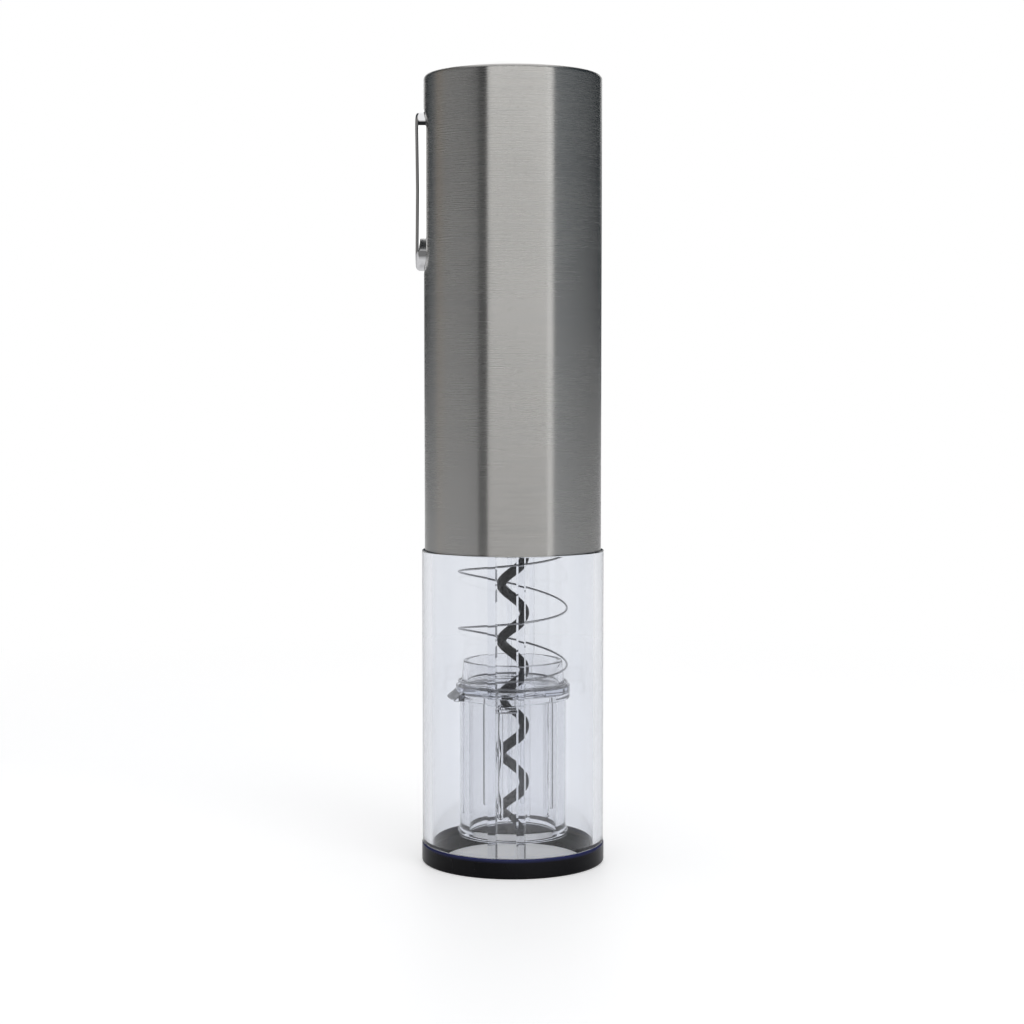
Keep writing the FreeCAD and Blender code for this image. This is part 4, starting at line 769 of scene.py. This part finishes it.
# %% Make the finishes
finishes = {
    "brushed_steel": brushed_steel(),
    "cap_metal": metal("cap_metal", (0.86, 0.86, 0.85), 0.14, 0.05, 500.0),
    "switch_chrome": metal("switch_chrome", (0.84, 0.84, 0.85), 0.015, 0.03, 400.0, 0.00012),
    "clear_plastic": clear_plastic("clear_plastic", (0.909, 0.921, 0.942), (0.895, 0.909, 0.934), 0.0),
    "guide_plastic": clear_plastic("guide_plastic", (0.985, 0.985, 0.99), (0.97, 0.97, 0.98), 0.0),
    # the ring's navy band just below its top edge is a painted highlight, not the plastic's own colour
    "ring_plastic": plastic("ring_plastic", (0.003, 0.003, 0.0045), 0.2, 0.2, 1200.0, 0.004, 0.9, ior=1.25,
                            rim_highlight=(ring_high.z, (0.03, 0.035, 0.12))),
    "gasket_rubber": plastic("gasket_rubber", (0.02, 0.02, 0.021), 0.55, 0.2, 1500.0),
    "jack_plastic": plastic("jack_plastic", (0.016, 0.016, 0.017), 0.4, 0.2),
    "nickel": metal("nickel", (0.66, 0.63, 0.58), 0.22, 0.08),
    "chassis_plastic": plastic("chassis_plastic", (0.04, 0.041, 0.044), 0.45, 0.15),
    "screw_steel": metal("screw_steel", (0.55, 0.55, 0.56), 0.28, 0.12),
    "gearbox_plastic": plastic("gearbox_plastic", (0.06, 0.06, 0.064), 0.42, 0.15),
    "bronze": metal("bronze", (0.55, 0.33, 0.14), 0.32, 0.15),
    "steel_plain": metal("steel_plain", (0.56, 0.56, 0.57), 0.27, 0.1, turned=True),
    "gear_resin": plastic("gear_resin", (0.72, 0.70, 0.64), 0.4, 0.06),
    "motor_zinc": metal("motor_zinc", (0.6, 0.61, 0.62), 0.33, 0.15, 300.0, turned=True),
    "end_cap_plastic": plastic("end_cap_plastic", (0.03, 0.03, 0.032), 0.4, 0.15),
    "brass": metal("brass", (0.72, 0.52, 0.22), 0.27, 0.12),
    "ferrite": plastic("ferrite", (0.045, 0.045, 0.048), 0.6, 0.25, 1000.0, 0.03),
    "core_steel": metal("core_steel", (0.42, 0.42, 0.43), 0.4, 0.15, turned=True),
    "copper": metal("copper", (0.75, 0.37, 0.22), 0.3, 0.15),
    "worm_coating": plastic("worm_coating", (0.0035, 0.0038, 0.005), 0.3, 0.25, 1700.0, 0.006, 0.5, ior=1.24,
                            edge_colour=(0.02, 0.021, 0.026)),
    "hub_plastic": plastic("hub_plastic", (0.03, 0.03, 0.033), 0.38, 0.15),
    "spring_steel": metal("spring_steel", (0.42, 0.42, 0.43), 0.3, 0.15, 900.0),
    "board_resin": board_lacquer(),
    "chip_resin": plastic("chip_resin", (0.02, 0.02, 0.021), 0.5, 0.2),
    "tact_plastic": plastic("tact_plastic", (0.035, 0.035, 0.037), 0.4, 0.15),
    "plunger_plastic": plastic("plunger_plastic", (0.5, 0.06, 0.03), 0.4, 0.1),
    "pad_fibre": plastic("pad_fibre", (0.28, 0.26, 0.22), 0.85, 0.25, 900.0, 0.05),
    "cell_wrap": cell_wrap(),
}


def finish_for(slot_name):
    if slot_name not in finishes:
        raise KeyError(f"no finish for the slot {slot_name}")
    return finishes[slot_name]


# %% Hand them out
for node in nodes.values():
    for slot in node.material_slots:
        slot.material = finish_for(slot.material.name.split(".")[0])
for piece, slot_name in ((housing, "clear_plastic"), (guide, "guide_plastic"), (spring, "spring_steel")):
    piece.data.materials.clear()
    piece.data.materials.append(finish_for(slot_name))
print(f"{len(finishes)} finishes on {len(nodes)} nodes and 3 pieces")

# %% [markdown]
# ## The camera
# The object is seen from about its middle height, a good half metre away, through a short
# telephoto lens tilted down by a few degrees, so its upright sides stay nearly parallel.

# %% Set up the camera
CAMERA_DISTANCE = 0.568
CAMERA_HEIGHT = 0.1333
CAMERA_SIDE = -0.00024
CAMERA_TILT = math.radians(3.739)
FOCAL_LENGTH, SENSOR_WIDTH = 72.95, 36.0

lens = bpy.data.cameras.new("camera")
lens.lens = FOCAL_LENGTH
lens.sensor_width = SENSOR_WIDTH
camera = bpy.data.objects.new("camera", lens)
bpy.context.scene.collection.objects.link(camera)
camera.location = (CAMERA_SIDE, -CAMERA_DISTANCE, CAMERA_HEIGHT)
camera.rotation_euler = (math.radians(90) - CAMERA_TILT, 0, 0)
lens.clip_start, lens.clip_end = 0.01, 20
bpy.context.scene.camera = camera

# %% [markdown]
# ## The studio
# A polished tube is only as good as what it mirrors. The world here is a simple studio: a
# wide soft light in front, from a little left of the camera to well right of it, a table's
# edge under it, a paler wall at the left, dim walls elsewhere, a backdrop behind and a light
# ceiling. Seen directly the studio is plain white. Through the clear plastic it is white
# straight behind the object and dimmer to the sides, which draws the edges of the clear
# walls. The floor is a matt white board that keeps the shadow. In mirrors alone it ends a
# little way in front of the object, so the steel isn't lit from below.

# %% Levels and edges of the studio
# Each edge is a pair of angles in degrees, between which one level fades into the next:
# elevations above the horizon, and for the left and right ones angles from the camera's side
SOFTBOX_LEVEL = (1.60, 1.59, 1.57)
SOFTBOX_LOW, SOFTBOX_HIGH = (3.73, 3.79), (25, 30)
FRONT_LEFT, FRONT_RIGHT = (33.4, 32.2), (51.0, 56.0)
TABLE_LEVEL, TABLE_TOP = (0.85, 0.85, 0.85), (3.42, 3.48)
BELOW_LEVEL, BELOW_TOP = (0.25, 0.25, 0.25), (2.7, 2.9)
BACKDROP_LEVEL, BACKDROP_LOW, BACKDROP_HIGH = (1.1, 1.1, 1.1), (5, 9), (60, 75)
BACKDROP_SIDE = (24, 18)
CEILING_LEVEL, CEILING_LOW = (0.95, 0.95, 0.95), (50, 62)
SIDE_LIGHT, STRAIGHT_LIGHT = (0.22, 0.225, 0.25), (1.0, 1.0, 1.0)
COOL, WARM = (0.8, 1.0, 1.15), (1.16, 1.0, 0.82)


# %% The world
def ramp(tree, value, stops):
    """A colour ramp; a stop is a position and a level, and a tint when it isn't grey."""
    node = tree.nodes.new("ShaderNodeValToRGB")
    elements = node.color_ramp.elements
    while len(elements) < len(stops):
        elements.new(0.5)
    for element, (position, level, *tint) in zip(elements, stops):
        element.position = position
        red, green, blue = tint[0] if tint else (1.0, 1.0, 1.0)
        element.color = (level * red, level * green, level * blue, 1)
    tree.links.new(value, node.inputs["Fac"])
    return node.outputs["Color"]


def rise_of(degrees):
    """The upward part of a direction that points so many degrees above the horizon."""
    return math.sin(math.radians(degrees))


def above_edge(tree, z, edge):
    return remap(tree, z, rise_of(edge[0]), rise_of(edge[1]))


def below_edge(tree, z, edge):
    return remap(tree, z, rise_of(edge[0]), rise_of(edge[1]), 1.0, 0.0)


def between(tree, z, low, high):
    """1 between two edges, with soft ends."""
    return math_node(tree, "MULTIPLY", above_edge(tree, z, low), below_edge(tree, z, high))


def studio_world():
    world = bpy.data.worlds.new("studio")
    world.use_nodes = True
    tree = world.node_tree
    tree.nodes.clear()
    direction = add(tree, "ShaderNodeTexCoord").outputs["Generated"]
    parts = add(tree, "ShaderNodeSeparateXYZ")
    tree.links.new(direction, parts.inputs[0])
    x, y, z = parts.outputs
    # 0 is straight behind the object and 0.5 is the camera's side; it grows from left to right
    turn = math_node(tree, "ARCTAN2", x, math_node(tree, "MULTIPLY", y, -1.0))
    turn = remap(tree, turn, -math.pi, math.pi)
    walls = ramp(tree, turn, [
        (0.0, 0.05, COOL), (0.08, 0.01, COOL), (0.135, 0.06, COOL), (0.165, 0.13), (0.19, 0.22, WARM),
        (0.23, 0.21), (0.26, 0.2), (0.33, 0.14), (0.385, 0.01, COOL),
        (0.60, 0.03), (0.67, 0.1, COOL), (0.80, 0.06, COOL), (0.90, 0.03, COOL), (1.0, 0.05, COOL)])
    left_edge = remap(tree, turn, 0.5 - FRONT_LEFT[0] / 360, 0.5 - FRONT_LEFT[1] / 360)
    right_edge = remap(tree, turn, 0.5 + FRONT_RIGHT[0] / 360, 0.5 + FRONT_RIGHT[1] / 360, 1.0, 0.0)
    front = math_node(tree, "MULTIPLY", left_edge, right_edge)
    above = between(tree, z, SOFTBOX_LOW, SOFTBOX_HIGH)
    level = mix_colours(tree, math_node(tree, "MULTIPLY", front, above), walls, SOFTBOX_LEVEL)
    table = math_node(tree, "MULTIPLY", front, below_edge(tree, z, TABLE_TOP))
    level = mix_colours(tree, table, level, TABLE_LEVEL)
    below = math_node(tree, "MULTIPLY", front, below_edge(tree, z, BELOW_TOP))
    level = mix_colours(tree, below, level, BELOW_LEVEL)
    away = math_node(tree, "ABSOLUTE", math_node(tree, "SUBTRACT", turn, 0.5))
    behind = remap(tree, away, 0.5 - BACKDROP_SIDE[0] / 360, 0.5 - BACKDROP_SIDE[1] / 360)
    backdrop = math_node(tree, "MULTIPLY", between(tree, z, BACKDROP_LOW, BACKDROP_HIGH), behind)
    level = mix_colours(tree, backdrop, level, BACKDROP_LEVEL)
    level = mix_colours(tree, above_edge(tree, z, CEILING_LOW), level, CEILING_LEVEL)
    seen = add(tree, "ShaderNodeLightPath")
    # light that clear plastic bends far aside comes from the dim part of the room
    through = mix_colours(tree, remap(tree, y, 0.1, 0.75), SIDE_LIGHT, STRAIGHT_LIGHT)
    colour = mix_colours(tree, seen.outputs["Is Transmission Ray"], level, through)
    colour = mix_colours(tree, seen.outputs["Is Camera Ray"], colour, STRAIGHT_LIGHT)
    background = add(tree, "ShaderNodeBackground", Strength=1.0)
    tree.links.new(colour, background.inputs["Color"])
    output = add(tree, "ShaderNodeOutputWorld")
    tree.links.new(background.outputs[0], output.inputs["Surface"])
    bpy.context.scene.world = world


studio_world()


# %% The floor
FLOOR_GLOW = 0.37
FADE_START, FADE_END = 0.25, 0.5
MIRRORED_END, MIRRORED_LEVEL = (0.12, 0.3), 0.18


def white_floor():
    clear_selection()
    bpy.ops.mesh.primitive_plane_add(size=12, location=(0, 0, 0))
    floor = bpy.context.object
    floor.name = "floor"
    material, tree, shader = new_material("floor_board", Roughness=0.5, IOR=1.3)
    shader.inputs["Base Color"].default_value = (0.78, 0.78, 0.79, 1)
    seen = add(tree, "ShaderNodeLightPath")
    plain = math_node(tree, "MAXIMUM", seen.outputs["Is Camera Ray"], seen.outputs["Is Transmission Ray"])
    shader.inputs["Emission Color"].default_value = (1, 1, 1, 1)
    tree.links.new(math_node(tree, "MULTIPLY", plain, FLOOR_GLOW), shader.inputs["Emission Strength"])
    # far from the object the board fades into the plain white round it, so no horizon shows
    glow = add(tree, "ShaderNodeEmission", Strength=1.0)
    place = add(tree, "ShaderNodeTexCoord").outputs["Object"]
    distance = add(tree, "ShaderNodeVectorMath", operation="LENGTH")
    tree.links.new(place, distance.inputs[0])
    far = math_node(tree, "MULTIPLY", plain, remap(tree, distance.outputs["Value"], FADE_START, FADE_END))
    # in front the mirrored board ends soon, and what lies beyond it is dim
    parts = add(tree, "ShaderNodeSeparateXYZ")
    tree.links.new(place, parts.inputs[0])
    ahead = math_node(tree, "MULTIPLY", parts.outputs["Y"], -1.0)
    aside = math_node(tree, "ABSOLUTE", parts.outputs["X"])
    within = remap(tree, math_node(tree, "SUBTRACT", ahead, aside), -0.02, 0.02)
    beyond = math_node(tree, "MULTIPLY", remap(tree, ahead, *MIRRORED_END), within)
    mirrored = math_node(tree, "MULTIPLY", beyond, seen.outputs["Is Glossy Ray"])
    dim = add(tree, "ShaderNodeEmission", Strength=MIRRORED_LEVEL)
    front_end = add(tree, "ShaderNodeMixShader")
    tree.links.new(mirrored, front_end.inputs["Fac"])
    tree.links.new(shader.outputs[0], front_end.inputs[1])
    tree.links.new(dim.outputs[0], front_end.inputs[2])
    fade = add(tree, "ShaderNodeMixShader")
    tree.links.new(far, fade.inputs["Fac"])
    tree.links.new(front_end.outputs[0], fade.inputs[1])
    tree.links.new(glow.outputs[0], fade.inputs[2])
    tree.links.new(fade.outputs[0], tree.nodes["Material Output"].inputs["Surface"])
    floor.data.materials.append(material)
    print(f"{floor.name}: {floor.dimensions.x:.0f} m across")


white_floor()


# %% Soft lamps
def softbox(name, location, aim, size, power):
    lamp = bpy.data.lights.new(name, "AREA")
    lamp.shape = "RECTANGLE"
    lamp.size, lamp.size_y = size
    lamp.energy = power
    holder = bpy.data.objects.new(name, lamp)
    bpy.context.scene.collection.objects.link(holder)
    holder.location = location
    holder.rotation_euler = (Vector(aim) - Vector(location)).to_track_quat("-Z", "Y").to_euler()
    holder.visible_glossy = False
    print(f"{name}: {power} W")


middle = (0, 0, (cad_low.z + cad_high.z) / 2)
softbox("overhead", (0.0, -0.1, 1.2), middle, (1.2, 1.2), 5.0)
softbox("front_right", (0.7, -0.9, 0.5), middle, (0.7, 0.9), 3.0)

# %% [markdown]
# ## View settings
# The Standard view shows each colour as it is written.

# %% Finish
scene = bpy.context.scene
scene.view_settings.view_transform = "Standard"
